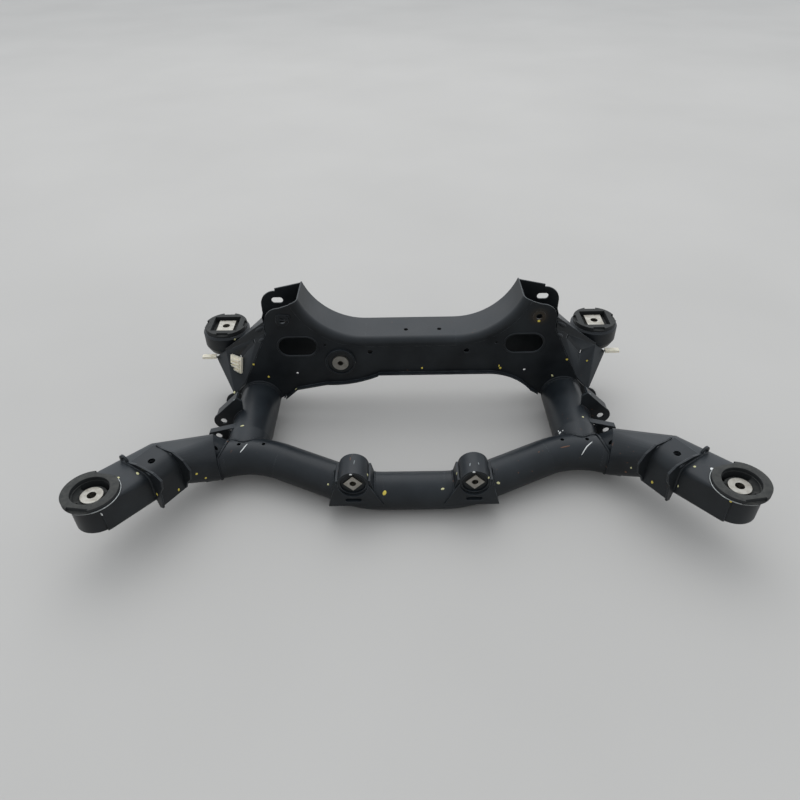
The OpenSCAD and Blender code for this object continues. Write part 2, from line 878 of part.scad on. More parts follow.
module link_ear_rear(side) {
    corner = [ear_x - 37, ear_z + 63];
    flange = 24;
    color(pressing) on_side(side) difference() {
        union() {
            wall(ear_rear, ear_sheet) ear_outline(corner);
            wall(ear_rear, flange) edge_strip(corner, [ear_x + ear_out, ear_z + ear_up], ear_sheet);
        }
        side_solid(side_od + 2 * seat, cross_od + 2 * seat, wall_front);
    }
}

bracket_flare = 17;
bracket_over = 6;
bracket_in = 2;
bracket_low = 28;
bracket_slot_z = 50;
bracket_slot = [32, 8];

// Pressed bracket that carries a rear differential bush on the cross tube
module diff_bracket(side) {
    narrow = diff_od / 2 + saddle_sheet;
    wide = narrow + bracket_flare;
    high = diff_z + bracket_over;
    color(pressing) on_side(side) difference() {
        translate([diff_x, 0, 0]) difference() {
            wall(diff_front + bracket_in, diff_len - 2 * bracket_in)
                polygon([[-wide, bracket_low], [wide, bracket_low], [narrow, high], [-narrow, high]]);
            wall(diff_front + bracket_in + saddle_sheet, diff_len)
                polygon([
                    [saddle_sheet - wide, bracket_low - past], [wide - saddle_sheet, bracket_low - past],
                    [narrow - saddle_sheet, high + past], [saddle_sheet - narrow, high + past]
                ]);
            wall(diff_front, diff_len) oval(0, bracket_slot_z, bracket_slot[0], bracket_slot[1]);
        }
        bolt_hole(diff_x, diff_z, diff_od + 2 * seat, diff_front - past, diff_front + diff_len + past);
        cross_solid(cross_od + 2 * seat);
    }
}

diff_wall = 4.5;
diff_sunk = 5;

module diff_ring(od, id, y0, y1, x, z) {
    translate([x, y0, z]) rotate([-90, 0, 0]) difference() {
        cylinder(d = od, h = y1 - y0);
        translate([0, 0, -past]) cylinder(d = id, h = y1 - y0 + 2 * past);
    }
}

// Straight notch that clears the bent tube along the width of a bush
module bush_notch() {
    turn = asin((diff_x - cross_mid) / bend_r);
    sag = pow(diff_od / 2, 2) / (2 * bend_r);
    translate([0, cross_y, cross_z]) rotate([cross_tilt, 0, 0])
        translate([diff_x, bend_r * (1 - cos(turn)) + sag / 2, 0]) rotate([0, 0, turn])
            along_x([-diff_od, 0, 0]) cylinder(d = cross_od + 2 * seat + sag, h = 2 * diff_od);
}

module diff_housing(side) {
    color(paint) on_side(side) difference() {
        diff_ring(diff_od, diff_od - 2 * diff_wall, diff_front, diff_front + diff_len, diff_x, diff_z);
        bush_notch();
    }
}

module diamond(x, z, s) {
    translate([x, z]) rotate(45) square(s, center = true);
}

module diff_rubber(side) {
    d = diff_od - 2 * diff_wall - 2 * seat;
    color(rubber) on_side(side) difference() {
        translate([diff_x, diff_front + diff_sunk, diff_z]) rotate([-90, 0, 0])
            cylinder(d = d, h = diff_len - 2 * diff_sunk);
        wall(diff_front, diff_len) diamond(diff_x, diff_z, diff_core + 2 * seat);
        bush_notch();
    }
}

module diff_core_bar(side) {
    color(zinc) on_side(side) difference() {
        wall(diff_front + past, diff_len - 2 * past) diamond(diff_x, diff_z, diff_core);
        bolt_hole(diff_x, diff_z, diff_bore, diff_front - past, diff_front + diff_len + past);
        bush_notch();
    }
}

nose_wall = 4;
nose_proud = 6;
nose_back = 3;
nose_sunk = 4;
nose_front = wall_front - nose_proud;
nose_core_od = 36;

module nose_housing() {
    id = nose_od - 2 * nose_wall;
    color(paint) diff_ring(nose_od, id, nose_front, wall_rear + nose_back, nose_x, nose_z);
}

module nose_rubber() {
    od = nose_od - 2 * nose_wall - 2 * seat;
    id = nose_core_od + 2 * seat;
    color(rubber) diff_ring(od, id, nose_front + nose_sunk, wall_rear - nose_sunk / 2, nose_x, nose_z);
}

module nose_core() {
    color(zinc) diff_ring(nose_core_od, diff_bore, nose_front - nose_sunk / 2, wall_rear, nose_x, nose_z);
}

clip = [32, 38, 6];
clip_rib = 4;
clip_ribs = 4;
clip_at = panel_at(0.09, 0.47, 0.44);
tab_clip = [32, 12, 6];
tab_back = 10;

// Ribbed clip on the left corner panel, trimmed where the panel folds outwards below it
module harness_clip() {
    big = 4 * clip[1];
    color(nylon) on_side(left) difference() {
        on_panel(panel_front, panel_top, panel_low, clip_at)
            translate([-clip[0] / 2, -clip[1] / 2, panel_half]) {
                cube(clip);
                for (i = [0:clip_ribs - 1]) translate([clip_rib, clip_rib * (1 + 2 * i), clip[2]])
                    cube([clip[0] - 2 * clip_rib, clip_rib, clip_rib]);
            }
        on_panel(panel_top, panel_foot, panel_low, panel_top)
            translate([-big / 2, -big / 2, panel_half - big]) cube(big);
    }
}

// Tab at the outer end of the corner panel, under the cup
module harness_tab(side) {
    color(nylon) on_side(side) translate(panel_side + [0, -tab_back, panel_half + seat]) cube(tab_clip);
}

cross_tube();
side_tube(left);  // side_tube_left
side_tube(right);  // side_tube_right
arm(left);  // arm_left
arm(right);  // arm_right
near_housing(left);  // near_housing_left
near_housing(right);  // near_housing_right
near_can(left);  // near_can_left
near_can(right);  // near_can_right
near_rubber(left);  // near_rubber_left
near_rubber(right);  // near_rubber_right
near_sleeve(left);  // near_sleeve_left
near_sleeve(right);  // near_sleeve_right
saddle_outer_plate(left);  // saddle_outer_left
saddle_outer_plate(right);  // saddle_outer_right
saddle_inner_plate(left);  // saddle_inner_left
saddle_inner_plate(right);  // saddle_inner_right
saddle_skin(left);  // saddle_skin_left
saddle_skin(right);  // saddle_skin_right
crossmember_front();
crossmember_rear();
mount_plate(left);  // mount_plate_left
mount_plate(right);  // mount_plate_right
corner_panel(left);  // corner_panel_left
corner_panel(right);  // corner_panel_right
far_cup(left);  // far_cup_left
far_cup(right);  // far_cup_right
far_can(left);  // far_can_left
far_can(right);  // far_can_right
far_rubber(left);  // far_rubber_left
far_rubber(right);  // far_rubber_right
far_sleeve(left);  // far_sleeve_left
far_sleeve(right);  // far_sleeve_right
link_ear_front(left);  // link_ear_front_left
link_ear_front(right);  // link_ear_front_right
link_ear_rear(left);  // link_ear_rear_left
link_ear_rear(right);  // link_ear_rear_right
diff_bracket(left);  // diff_bracket_left
diff_bracket(right);  // diff_bracket_right
diff_housing(left);  // diff_housing_left
diff_housing(right);  // diff_housing_right
diff_rubber(left);  // diff_rubber_left
diff_rubber(right);  // diff_rubber_right
diff_core_bar(left);  // diff_core_left
diff_core_bar(right);  // diff_core_right
nose_housing();
nose_rubber();
nose_core();
harness_clip();
harness_tab(left);  // harness_tab_left
harness_tab(right);  // harness_tab_right
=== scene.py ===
"""Finishes, folded edges, weld beads and workshop marks for a welded rear suspension subframe."""

import json
import math
import random

import bpy
from mathutils import Matrix, Vector

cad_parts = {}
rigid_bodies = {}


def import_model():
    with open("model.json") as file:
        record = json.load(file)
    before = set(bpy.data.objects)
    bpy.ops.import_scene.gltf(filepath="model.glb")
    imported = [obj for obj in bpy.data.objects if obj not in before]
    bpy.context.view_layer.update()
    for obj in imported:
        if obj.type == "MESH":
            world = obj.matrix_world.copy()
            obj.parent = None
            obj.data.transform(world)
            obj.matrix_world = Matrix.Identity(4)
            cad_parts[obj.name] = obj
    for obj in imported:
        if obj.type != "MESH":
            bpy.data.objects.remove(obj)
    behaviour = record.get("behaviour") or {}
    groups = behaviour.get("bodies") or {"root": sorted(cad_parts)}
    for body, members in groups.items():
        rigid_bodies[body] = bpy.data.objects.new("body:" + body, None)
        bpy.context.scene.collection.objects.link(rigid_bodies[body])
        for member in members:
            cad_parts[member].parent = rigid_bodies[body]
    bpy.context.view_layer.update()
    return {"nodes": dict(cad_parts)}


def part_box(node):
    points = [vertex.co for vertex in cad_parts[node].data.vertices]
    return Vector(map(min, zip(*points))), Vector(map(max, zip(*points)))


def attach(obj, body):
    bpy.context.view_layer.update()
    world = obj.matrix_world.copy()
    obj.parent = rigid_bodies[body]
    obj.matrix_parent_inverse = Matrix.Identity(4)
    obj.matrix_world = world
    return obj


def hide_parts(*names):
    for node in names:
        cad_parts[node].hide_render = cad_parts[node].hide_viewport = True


bl_info = {
    "name": "Rear subframe dressing",
    "version": (1, 1, 0),
    "blender": (4, 5, 0),
    "location": "3D View > Sidebar > Subframe",
    "description": "Paint, rubber, metal, folded edges, weld beads and marks on a welded rear subframe",
    "category": "Object",
}

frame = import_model()
NODES = frame["nodes"]
MM = 0.001
SIDES = {"left": -1, "right": 1}


def linear(code):
    """Linear RGBA of an sRGB hex colour."""
    channels = [int(code[i : i + 2], 16) / 255 for i in (1, 3, 5)]
    return [c / 12.92 if c <= 0.04045 else ((c + 0.055) / 1.055) ** 2.4 for c in channels] + [1.0]


def per_metre(size_mm):
    """Texture scale at which one cell of a pattern is this many millimetres."""
    return 1 / (size_mm * MM)


def fill(tree, node, inputs):
    """Link each input of a node to an output, or set its constant."""
    for name, source in inputs.items():
        if isinstance(source, bpy.types.NodeSocket):
            tree.links.new(source, node.inputs[name])
        else:
            node.inputs[name].default_value = source


def add(tree, kind, out, inputs, **settings):
    """Add a node with its settings and inputs, and return one of its outputs."""
    node = tree.nodes.new(kind)
    for name, value in settings.items():
        setattr(node, name, value)
    fill(tree, node, inputs)
    return node.outputs[out]


def colour(name, description, code):
    return bpy.props.FloatVectorProperty(
        name=name, description=description, default=linear(code), size=4, subtype="COLOR", min=0, max=1
    )


def length(name, description, default):
    return bpy.props.FloatProperty(
        name=name, description=description, default=default, unit="LENGTH", precision=5
    )


class SubframeSizes(bpy.types.PropertyGroup):
    """Sizes of the dressing."""

    bead_radius: length("Bead radius", "Radius of a fillet weld bead", 0.0026)
    bead_pitch: length("Bead pitch", "Distance between the ripples of a weld bead", 0.0034)
    edge_round: length("Edge round", "Radius of the paint over a sheet edge", 0.0012)
    rim_radius: length("Rim radius", "Radius of the rolled rim of an oval", 0.0024)
    dot_height: length("Dot height", "Thickness of a dab of pen paint", 0.0007)
    collar_radius: length("Collar radius", "Outer radius of the arm's collar on the bent tube", 0.048)
    flange_height: length("Flange height", "Height of the upright flange on a corner panel", 0.006)


class SubframeColours(bpy.types.PropertyGroup):
    """Colours of the finishes."""

    paint: colour("Paint", "Black dip paint", "#0f1215")
    paint_light: colour("Thin paint", "Dip paint where it is thinner", "#1f2326")
    # Blue-grey mixed in on what faces up: partly chalked paint and dust, partly a painted sheen of the sky
    bloom: colour("Bloom", "Chalked paint and dust on what faces up", "#444e58")
    worn: colour("Worn edge", "Paint rubbed to the primer on edges", "#7b8287")
    rust: colour("Rust", "Rust in chips", "#6a4630")
    grease: colour("Grease", "Old grease around a bolt hole", "#4a3c28")
    rubber: colour("Rubber", "Bush rubber", "#232526")
    rubber_dust: colour("Rubber bloom", "Grey bloom and dust on the rubber", "#77766e")
    metal: colour("Aluminium", "Bush sleeves and cores", "#a9a69f")
    oxide: colour("Oxide", "Tan oxide on the aluminium", "#7d7567")
    steel: colour("Steel", "Bare steel rims", "#b9bcbc")
    steel_dull: colour("Dull steel", "Bare steel where it is dull", "#8a8d8c")
    zinc: colour("Zinc", "Zinc plate of the bush cans", "#77797a")
    zinc_dull: colour("Dull zinc", "Zinc plate where it is dull", "#4d4f50")
    nylon: colour("Nylon", "Harness clips", "#ece5d2")
    soil: colour("Soil", "Dirt on the nylon", "#a89f88")
    pen_yellow: colour("Yellow pen", "Inspection dots", "#d9c552")
    pen_pale: colour("Pale pen", "Pale yellow inspection dots", "#d6d2a0")
    pen_white: colour("White pen", "White inspection dots and strokes", "#e6e8e6")
    pen_grey: colour("Grey chips", "Small bare chips in the paint", "#8b9193")
    floor: colour("Floor", "Pale floor", "#bdbbb8")
    daylight: colour("Daylight", "Overcast sky", "#eef2f6")


def colours():
    return bpy.context.scene.subframe_colours


def sizes():
    return bpy.context.scene.subframe_sizes


def blank(name):
    """A new material with its tree, its shader and Object coordinates."""
    material = bpy.data.materials.new(name)
    material.use_nodes = True
    tree = material.node_tree
    coords = add(tree, "ShaderNodeTexCoord", "Object", {})
    return material, tree, tree.nodes["Principled BSDF"], coords


def dip_paint(name, upward_pale_most, rough, stain=None):
    # Black dip paint on steel: a thin satin film, rounded over the sheet's edges, lightened to a blue-grey
    # where it faces the sky, partly by chalk and dust and partly as a painted sheen, rubbed pale along edges,
    # with faint orange peel and a few rusted chips
    material, tree, shader, coords = blank(name)
    tint = colours()
    flat = add(tree, "ShaderNodeNewGeometry", "Normal", {})
    rounded = add(tree, "ShaderNodeBevel", "Normal", {"Radius": sizes().edge_round}, samples=6)
    cloud = add(tree, "ShaderNodeTexNoise", "Fac", {"Vector": coords, "Scale": per_metre(70), "Detail": 4.0})
    thin = add(tree, "ShaderNodeMapRange", "Result", {"Value": cloud, "From Min": 0.35, "From Max": 0.7})
    body = add(tree, "ShaderNodeMix", 2, {0: thin, 6: tint.paint, 7: tint.paint_light}, data_type="RGBA")
    # Blue-grey on what faces up, partly dust and partly painted sheen: more of it the more the face looks up,
    # in patches of 30 mm with a 2 mm grain
    upward = add(tree, "ShaderNodeSeparateXYZ", "Z", {0: rounded})
    facing = add(tree, "ShaderNodeMapRange", "Result", {"Value": upward, "From Min": 0.0, "From Max": 1.0})
    pale_patches = add(tree, "ShaderNodeTexNoise", "Fac", {"Vector": coords, "Scale": per_metre(30), "Detail": 6.0})
    pale_patches = add(tree, "ShaderNodeMapRange", "Result", {
        "Value": pale_patches, "From Min": 0.25, "From Max": 0.75, "To Min": 0.6 * upward_pale_most, "To Max": upward_pale_most
    })
    grain = add(tree, "ShaderNodeTexNoise", "Fac", {"Vector": coords, "Scale": per_metre(2.2), "Detail": 2.0})
    grain = add(tree, "ShaderNodeMapRange", "Result", {
        "Value": grain, "From Min": 0.25, "From Max": 0.75, "To Min": 0.75, "To Max": 1.15
    })
    upward_pale = add(tree, "ShaderNodeMath", 0, {0: facing, 1: pale_patches}, operation="MULTIPLY")
    upward_pale = add(tree, "ShaderNodeMath", 0, {0: upward_pale, 1: grain}, operation="MULTIPLY")
    # Mix in the blue-grey of dust and painted sheen on the faces that look up
    body = add(tree, "ShaderNodeMix", 2, {0: upward_pale, 6: body, 7: tint.bloom}, data_type="RGBA")
    # Rubbed edges: where the rounded normal leaves the flat one
    same = add(tree, "ShaderNodeVectorMath", "Value", {0: flat, 1: rounded}, operation="DOT_PRODUCT")
    edge = add(tree, "ShaderNodeMapRange", "Result", {"Value": same, "From Min": 0.985, "From Max": 0.86})
    wear = add(tree, "ShaderNodeTexNoise", "Fac", {"Vector": coords, "Scale": per_metre(22), "Detail": 5.0})
    wear = add(tree, "ShaderNodeMapRange", "Result", {
        "Value": wear, "From Min": 0.42, "From Max": 0.64, "To Min": 0.06, "To Max": 0.6
    })
    rubbed = add(tree, "ShaderNodeMath", 0, {0: edge, 1: wear}, operation="MULTIPLY")
    body = add(tree, "ShaderNodeMix", 2, {0: rubbed, 6: body, 7: tint.worn}, data_type="RGBA")
    # Rusted chips of a few millimetres, in some areas only
    chip = add(tree, "ShaderNodeTexNoise", "Fac", {"Vector": coords, "Scale": per_metre(9), "Detail": 3.0})
    chip = add(tree, "ShaderNodeMapRange", "Result", {"Value": chip, "From Min": 0.7, "From Max": 0.76})
    area = add(tree, "ShaderNodeTexNoise", "Fac", {"Vector": coords, "Scale": per_metre(160), "Detail": 2.0})
    area = add(tree, "ShaderNodeMapRange", "Result", {"Value": area, "From Min": 0.52, "From Max": 0.66})
    chipped = add(tree, "ShaderNodeMath", 0, {0: chip, 1: area}, operation="MULTIPLY")
    body = add(tree, "ShaderNodeMix", 2, {0: chipped, 6: body, 7: tint.rust}, data_type="RGBA")
    if stain is not None:
        # Brown ring of old grease around a bolt hole, 12 to 26 mm from its middle
        away = add(tree, "ShaderNodeVectorMath", "Value", {0: coords, 1: stain}, operation="DISTANCE")
        ring = add(tree, "ShaderNodeMapRange", "Result", {
            "Value": away, "From Min": 0.026, "From Max": 0.012, "To Max": 0.55
        })
        blot = add(tree, "ShaderNodeMath", 0, {0: ring, 1: pale_patches}, operation="ADD")
        blot = add(tree, "ShaderNodeMath", 0, {0: blot, 1: ring}, operation="MULTIPLY")
        body = add(tree, "ShaderNodeMix", 2, {0: blot, 6: body, 7: tint.grease}, data_type="RGBA")
    gloss = add(tree, "ShaderNodeMapRange", "Result", {
        "Value": cloud, "From Min": 0.3, "From Max": 0.7, "To Min": rough - 0.05, "To Max": rough + 0.08
    })
    peel = add(tree, "ShaderNodeTexNoise", "Fac", {"Vector": coords, "Scale": per_metre(3.2), "Detail": 2.0})
    skin = add(tree, "ShaderNodeBump", "Normal", {
        "Height": peel, "Strength": 0.12, "Distance": 0.12 * MM, "Normal": rounded
    })
    fill(tree, shader, {"Base Color": body, "Roughness": gloss, "Specular IOR Level": 0.3, "Normal": skin})
    return material


def bush_rubber(name, upward_pale_most):
    # Moulded natural rubber: matt, with a grey bloom and grit that lies in what faces up
    material, tree, shader, coords = blank(name)
    tint = colours()
    rounded = add(tree, "ShaderNodeBevel", "Normal", {"Radius": sizes().edge_round}, samples=6)
    upward = add(tree, "ShaderNodeSeparateXYZ", "Z", {0: rounded})
    facing = add(tree, "ShaderNodeMapRange", "Result", {"Value": upward, "From Min": 0.1, "From Max": 1.0})
    grit = add(tree, "ShaderNodeTexNoise", "Fac", {
        "Vector": coords, "Scale": per_metre(9), "Detail": 7.0, "Roughness": 0.7
    })
    grit = add(tree, "ShaderNodeMapRange", "Result", {
        "Value": grit, "From Min": 0.35, "From Max": 0.72, "To Min": 0.2 * upward_pale_most, "To Max": upward_pale_most
    })
    upward_pale = add(tree, "ShaderNodeMath", 0, {0: facing, 1: grit}, operation="MULTIPLY")
    body = add(tree, "ShaderNodeMix", 2, {0: upward_pale, 6: tint.rubber, 7: tint.rubber_dust}, data_type="RGBA")
    pores = add(tree, "ShaderNodeTexNoise", "Fac", {"Vector": coords, "Scale": per_metre(1.4), "Detail": 3.0})
    skin = add(tree, "ShaderNodeBump", "Normal", {
        "Height": pores, "Strength": 0.3, "Distance": 0.25 * MM, "Normal": rounded
    })
    fill(tree, shader, {"Base Color": body, "Roughness": 0.7, "Specular IOR Level": 0.3, "Normal": skin})
    return material


def turned_aluminium(name, centre, turn, tarnish):
    # Turned aluminium: fine rings about the bore, drawn 0.9 mm apart so that they show, and oxide in patches
    material, tree, shader, coords = blank(name)
    moved = add(tree, "ShaderNodeVectorMath", 0, {0: coords, 1: centre}, operation="SUBTRACT")
    around = add(tree, "ShaderNodeMapping", 0, {"Vector": moved, "Rotation": turn})
    rings = add(tree, "ShaderNodeTexWave", "Fac", {"Vector": around, "Scale": math.pi / 10 * per_metre(0.9),
                                                   "Distortion": 0.6, "Detail": 2.0},
                wave_type="RINGS", rings_direction="Z")
    patch = add(tree, "ShaderNodeTexNoise", "Fac", {"Vector": coords, "Scale": per_metre(11), "Detail": 5.0})
    patch = add(tree, "ShaderNodeMapRange", "Result", {
        "Value": patch, "From Min": 0.38, "From Max": 0.72, "To Max": tarnish
    })
    body = add(tree, "ShaderNodeMix", 2, {0: patch, 6: colours().metal, 7: colours().oxide}, data_type="RGBA")
    gloss = add(tree, "ShaderNodeMapRange", "Result", {"Value": patch, "To Min": 0.36, "To Max": 0.66})
    rounded = add(tree, "ShaderNodeBevel", "Normal", {"Radius": 0.6 * MM}, samples=4)
    skin = add(tree, "ShaderNodeBump", "Normal", {
        "Height": rings, "Strength": 0.15, "Distance": 0.1 * MM, "Normal": rounded
    })
    fill(tree, shader, {"Base Color": body, "Metallic": 1.0, "Roughness": gloss, "Normal": skin})
    return material


def bare_steel(name, light, dark):
    # Drawn steel, plain or zinc plated: dull grey, faintly mottled in spots of 8 mm
    material, tree, shader, coords = blank(name)
    mottle = add(tree, "ShaderNodeTexNoise", "Fac", {"Vector": coords, "Scale": per_metre(8), "Detail": 4.0})
    mottle = add(tree, "ShaderNodeMapRange", "Result", {"Value": mottle, "From Min": 0.3, "From Max": 0.7})
    body = add(tree, "ShaderNodeMix", 2, {0: mottle, 6: light, 7: dark}, data_type="RGBA")
    fill(tree, shader, {"Base Color": body, "Metallic": 1.0, "Roughness": 0.4})
    return material


def moulded_nylon(name):
    # Natural nylon clip: creamy and slightly waxy, soiled in patches of 9 mm
    material, tree, shader, coords = blank(name)
    soil = add(tree, "ShaderNodeTexNoise", "Fac", {"Vector": coords, "Scale": per_metre(9), "Detail": 5.0})
    soil = add(tree, "ShaderNodeMapRange", "Result", {
        "Value": soil, "From Min": 0.45, "From Max": 0.75, "To Max": 0.35
    })
    body = add(tree, "ShaderNodeMix", 2, {0: soil, 6: colours().nylon, 7: colours().soil}, data_type="RGBA")
    fill(tree, shader, {
        "Base Color": body,
        "Roughness": 0.42,
        "Subsurface Weight": 0.1,
        "Subsurface Radius": (0.003, 0.002, 0.001),
    })
    return material


def pen_paint(name, tint):
    # Paint-pen mark: opaque, slightly uneven over 3 mm
    material, tree, shader, coords = blank(name)
    uneven = add(tree, "ShaderNodeTexNoise", "Fac", {"Vector": coords, "Scale": per_metre(3), "Detail": 3.0})
    uneven = add(tree, "ShaderNodeMapRange", "Result", {
        "Value": uneven, "From Min": 0.3, "From Max": 0.7, "To Max": 0.35
    })
    darker = [c * 0.65 for c in tint[:3]] + [1.0]
    body = add(tree, "ShaderNodeMix", 2, {0: uneven, 6: tint, 7: darker}, data_type="RGBA")
    fill(tree, shader, {"Base Color": body, "Roughness": 0.5})
    return material


def pale_floor(name):
    # Matt pale floor, a little uneven over about a metre
    material, tree, shader, coords = blank(name)
    shade = add(tree, "ShaderNodeTexNoise", "Fac", {"Vector": coords, "Scale": per_metre(900), "Detail": 3.0})
    shade = add(tree, "ShaderNodeMapRange", "Result", {"Value": shade, "From Min": 0.3, "From Max": 0.7})
    darker = [c * 0.94 for c in colours().floor[:3]] + [1.0]
    body = add(tree, "ShaderNodeMix", 2, {0: shade, 6: colours().floor, 7: darker}, data_type="RGBA")
    fill(tree, shader, {"Base Color": body, "Roughness": 0.9, "Specular IOR Level": 0.2})
    return material


def painted(obj, material):
    obj.data.materials.clear()
    obj.data.materials.append(material)


def keep(obj, name, finish):
    """Name a finished piece, give it its finish and let it ride with the part."""
    obj.name = name
    obj.data.name = name
    painted(obj, bpy.data.materials[finish])
    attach(obj, "root")
    return obj


def middle(node):
    low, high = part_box(node)
    return (low + high) / 2


# Places that the pieces follow, in millimetres, as the part has them
NEAR_MOUNT = Vector((572, -255, 123))
NEAR_TOP, NEAR_LIP_R = 152, 50
CROSS_OD, CROSS_Y, CROSS_Z, CROSS_TILT = 76, -148, 38.1, math.radians(8.6)
CROSS_MID, CROSS_LEG, BEND_R = 60, 150, 180
BEND_BACK, BEND_OUT = math.radians(24), math.radians(40)
END_TURN = BEND_OUT - BEND_BACK
SIDE_OD, SIDE_X, SIDE_Z, NECK_Y = 90, 350, 50, -8
WALL_FRONT, WALL_REAR = 150, 242
MOUTH_IN, MOUTH_RISE = 15, 6.5
WAIST_AT, WAIST_BOW, WAIST_LIFT = 0.4, 20, 16
SADDLE_OUTER, SADDLE_INNER, SADDLE_SHEET = 91, 152, 4
DIFF_X, DIFF_Y, DIFF_Z, DIFF_OD = 117, -170, 90, 59
EAR_FRONT, EAR_REAR, EAR_SHEET = 0, 50, 4
OVAL_X, OVAL_Z, OVAL_W, OVAL_H = 251, 189, 85, 48
TAB_X = 303
# Bolt hole in the front wall with old grease around it
STAIN = Vector((277, 150, 257))

# Weld beads: their size as shares of the bead radius, how far ahead of the wall a tube's end shows, seeds
TUBE_BEAD, END_BEAD, BRACKET_BEAD, END_AHEAD = 1.15, 0.575, 0.85, 7
TUBE_SEED, ARM_SEED, BRACKET_SEED = 11, 21, 31
# First and last turn in degrees of the beads under the saddle plates
OUTER_FOOT, INNER_FOOT = (128, -20), (100, -8)
# Half width of a bracket at its beads, and the share of the first bend's depth where the tube's axis is taken
BRACKET_HALF, BRACKET_BACK = 40, 0.62
# Oval rims: growth around the oval as a share of the rim's width, and flattening
OVAL_GROW, OVAL_FLAT = 0.6, 0.7
# Pen strokes: radius, depth in the paint and distance between their points
STROKE_R, STROKE_SUNK, STROKE_STEP = 1.3, 0.55, 2

# Step in a tower's top edge: its level, the round beside it and the block that is taken away
STEP_Z, STEP_R, STEP_BLOCK = 246, 34, (50, 40, 60)

# Collar: least reach on the tube, slant of its end, overlap in the arm, depth in the tube and its sides
COLLAR_LEAST, COLLAR_TILT, COLLAR_LAP, COLLAR_SUNK, COLLAR_STEPS = 3, math.radians(40), 2, 1, 96
# Its hole, from the bent tube's axis at the side tube, and the hole's radius
COLLAR_HOLE, COLLAR_HOLE_R = Vector((51, -14, 46)), 4

# Corner panel: foot and peak of its flange at the tower, its outer end, and the sheet's rear corner
PANEL_FRONT, PANEL_PEAK = Vector((317.7, 151.7, 224)), Vector((317.7, 151.7, 248))
PANEL_TOP, PANEL_REAR = Vector((425, 195, 151.7)), Vector((341.5, 240.3, 210))
PANEL_SHEET = 3
# Room cut behind the flange: its size, its share of the run, and how far back and down its middle lies
PANEL_ROOM, ROOM_ALONG, ROOM_BACK, ROOM_DROP = (155, 130, 120), 0.36, 67, 20
# Each rib of the panel: its ends and the way it stands out
PANEL_RIBS = (
    ((319.5, 150.0, 240.5), (341, 158.6, 224.5), (0.37, -0.93, 0)),
    ((320.5, 150.4, 211.5), (336.5, 154.3, 200), (0.5, -0.83, 0.25)),
)
RIB_HALF_WIDTH, RIB_HEIGHT = 4.2, 3

# Corners of an apron's middle plane: low inner, low outer, high inner, high outer
APRON = ((59, -176, 37), (166, -176, 37), (90, -166.5, 88), (150, -166.5, 88))
# Its depth, its play around the housing and the round of its edges, and then its slot
APRON_DEPTH, APRON_PLAY, APRON_EDGE = 26, 0.3, 0.8
SLOT_AT, SLOT_HALF, SLOT_R, SLOT_DEPTH = Vector((DIFF_X, -188, 52.5)), Vector((12, 0, 0)), 4, 20

# Lip of a near rubber: height, radius of its bore, round of its edge, and play
LIP_HEIGHT, LIP_BORE, LIP_EDGE, LIP_PLAY = 8, 34, 1.2, 0.05
# Block that takes the solid's own lip away, and how far over the foot of the lip it starts
LIP_CUT, LIP_CUT_RISE = (120, 120, 40), 0.2
# Notches in its rim: turns in degrees, and middle, depth, width and foot of each
NOTCH_TURNS, NOTCH_AT, NOTCH_DEPTH, NOTCH_WIDTH, NOTCH_FOOT = (-82, 106), 51.5, 18, 39, 0.6

# Steel rim of a near bush, beside the arm and under the front of the lip: radius, level, first and last turn
BUSH_RIMS = ((50.7, 152.4, 128, 250), (48.9, 151.3, 246, 282))
BUSH_RIM_R = 1
# Boss around the slot in the left tower: middle, width, height, turn in degrees and radius of its bar
BOSS_AT, BOSS_W, BOSS_H, BOSS_TURN, BOSS_R = Vector((-274, WALL_FRONT - 1.2, 264)), 30, 13, -5, 1.6

# No bead is laid lower than this, and the rays under the saddle plates start this far out of the arm
BEAD_FLOOR, RAY_OUT = 4, 160
# Direction of a dab that has run down, and the step in radians by which round dabs are turned
DOWN, DAB_TURN = (0, 0, -1), 0.9

# Camera solved from the photo, in metres, with its lens in millimetres
CAMERA_AT = Vector((-0.0167, -1.06, 0.98))
CAMERA_RIGHT = Vector((0.99986, -0.00457, -0.01568))
CAMERA_UP = Vector((0.01517, 0.61567, 0.78785))
CAMERA_BACK = Vector((0.00605, -0.78799, 0.61566))
CAMERA_LENS, CAMERA_SENSOR = 29.25, 36
# Width and height of the photo in pixels
PHOTO_SIZE = 800
# Soft lamp, with its place and size in metres
LAMP_AT, LAMP_TURN = (-0.4, 3, 5), (math.radians(-31), math.radians(-5), 0)
LAMP_SIZE, LAMP_WATTS = 5, 72


def on_cross(along, across):
    """A point of the bent tube's plane in the part's frame."""
    return Vector((along, CROSS_Y + across * math.cos(CROSS_TILT), CROSS_Z + across * math.sin(CROSS_TILT)))


BEND1 = (CROSS_MID + BEND_R * math.sin(BEND_BACK), BEND_R * (1 - math.cos(BEND_BACK)))
LEG = (BEND1[0] + CROSS_LEG * math.cos(BEND_BACK), BEND1[1] + CROSS_LEG * math.sin(BEND_BACK))
BEND2 = (
    LEG[0] + BEND_R * (math.sin(BEND_BACK) + math.sin(END_TURN)),
    LEG[1] + BEND_R * (math.cos(END_TURN) - math.cos(BEND_BACK)),
)
MOUTH_AXIS = on_cross(BEND2[0] + MOUTH_IN * math.cos(END_TURN), BEND2[1] - MOUTH_IN * math.sin(END_TURN))
MOUTH = MOUTH_AXIS + Vector((0, MOUTH_RISE, MOUTH_RISE))
STUB = Vector((math.cos(END_TURN), -math.sin(END_TURN), 0))
STUB_BACK = Vector((math.sin(END_TURN), math.cos(END_TURN), 0))
ARM_RUN = NEAR_MOUNT - MOUTH
ARM_TURN = math.atan2(ARM_RUN.y, ARM_RUN.x)
WAIST_SHIFT = Vector((-math.sin(ARM_TURN) * WAIST_BOW, math.cos(ARM_TURN) * WAIST_BOW, WAIST_LIFT))
WAIST = MOUTH + WAIST_AT * ARM_RUN + WAIST_SHIFT
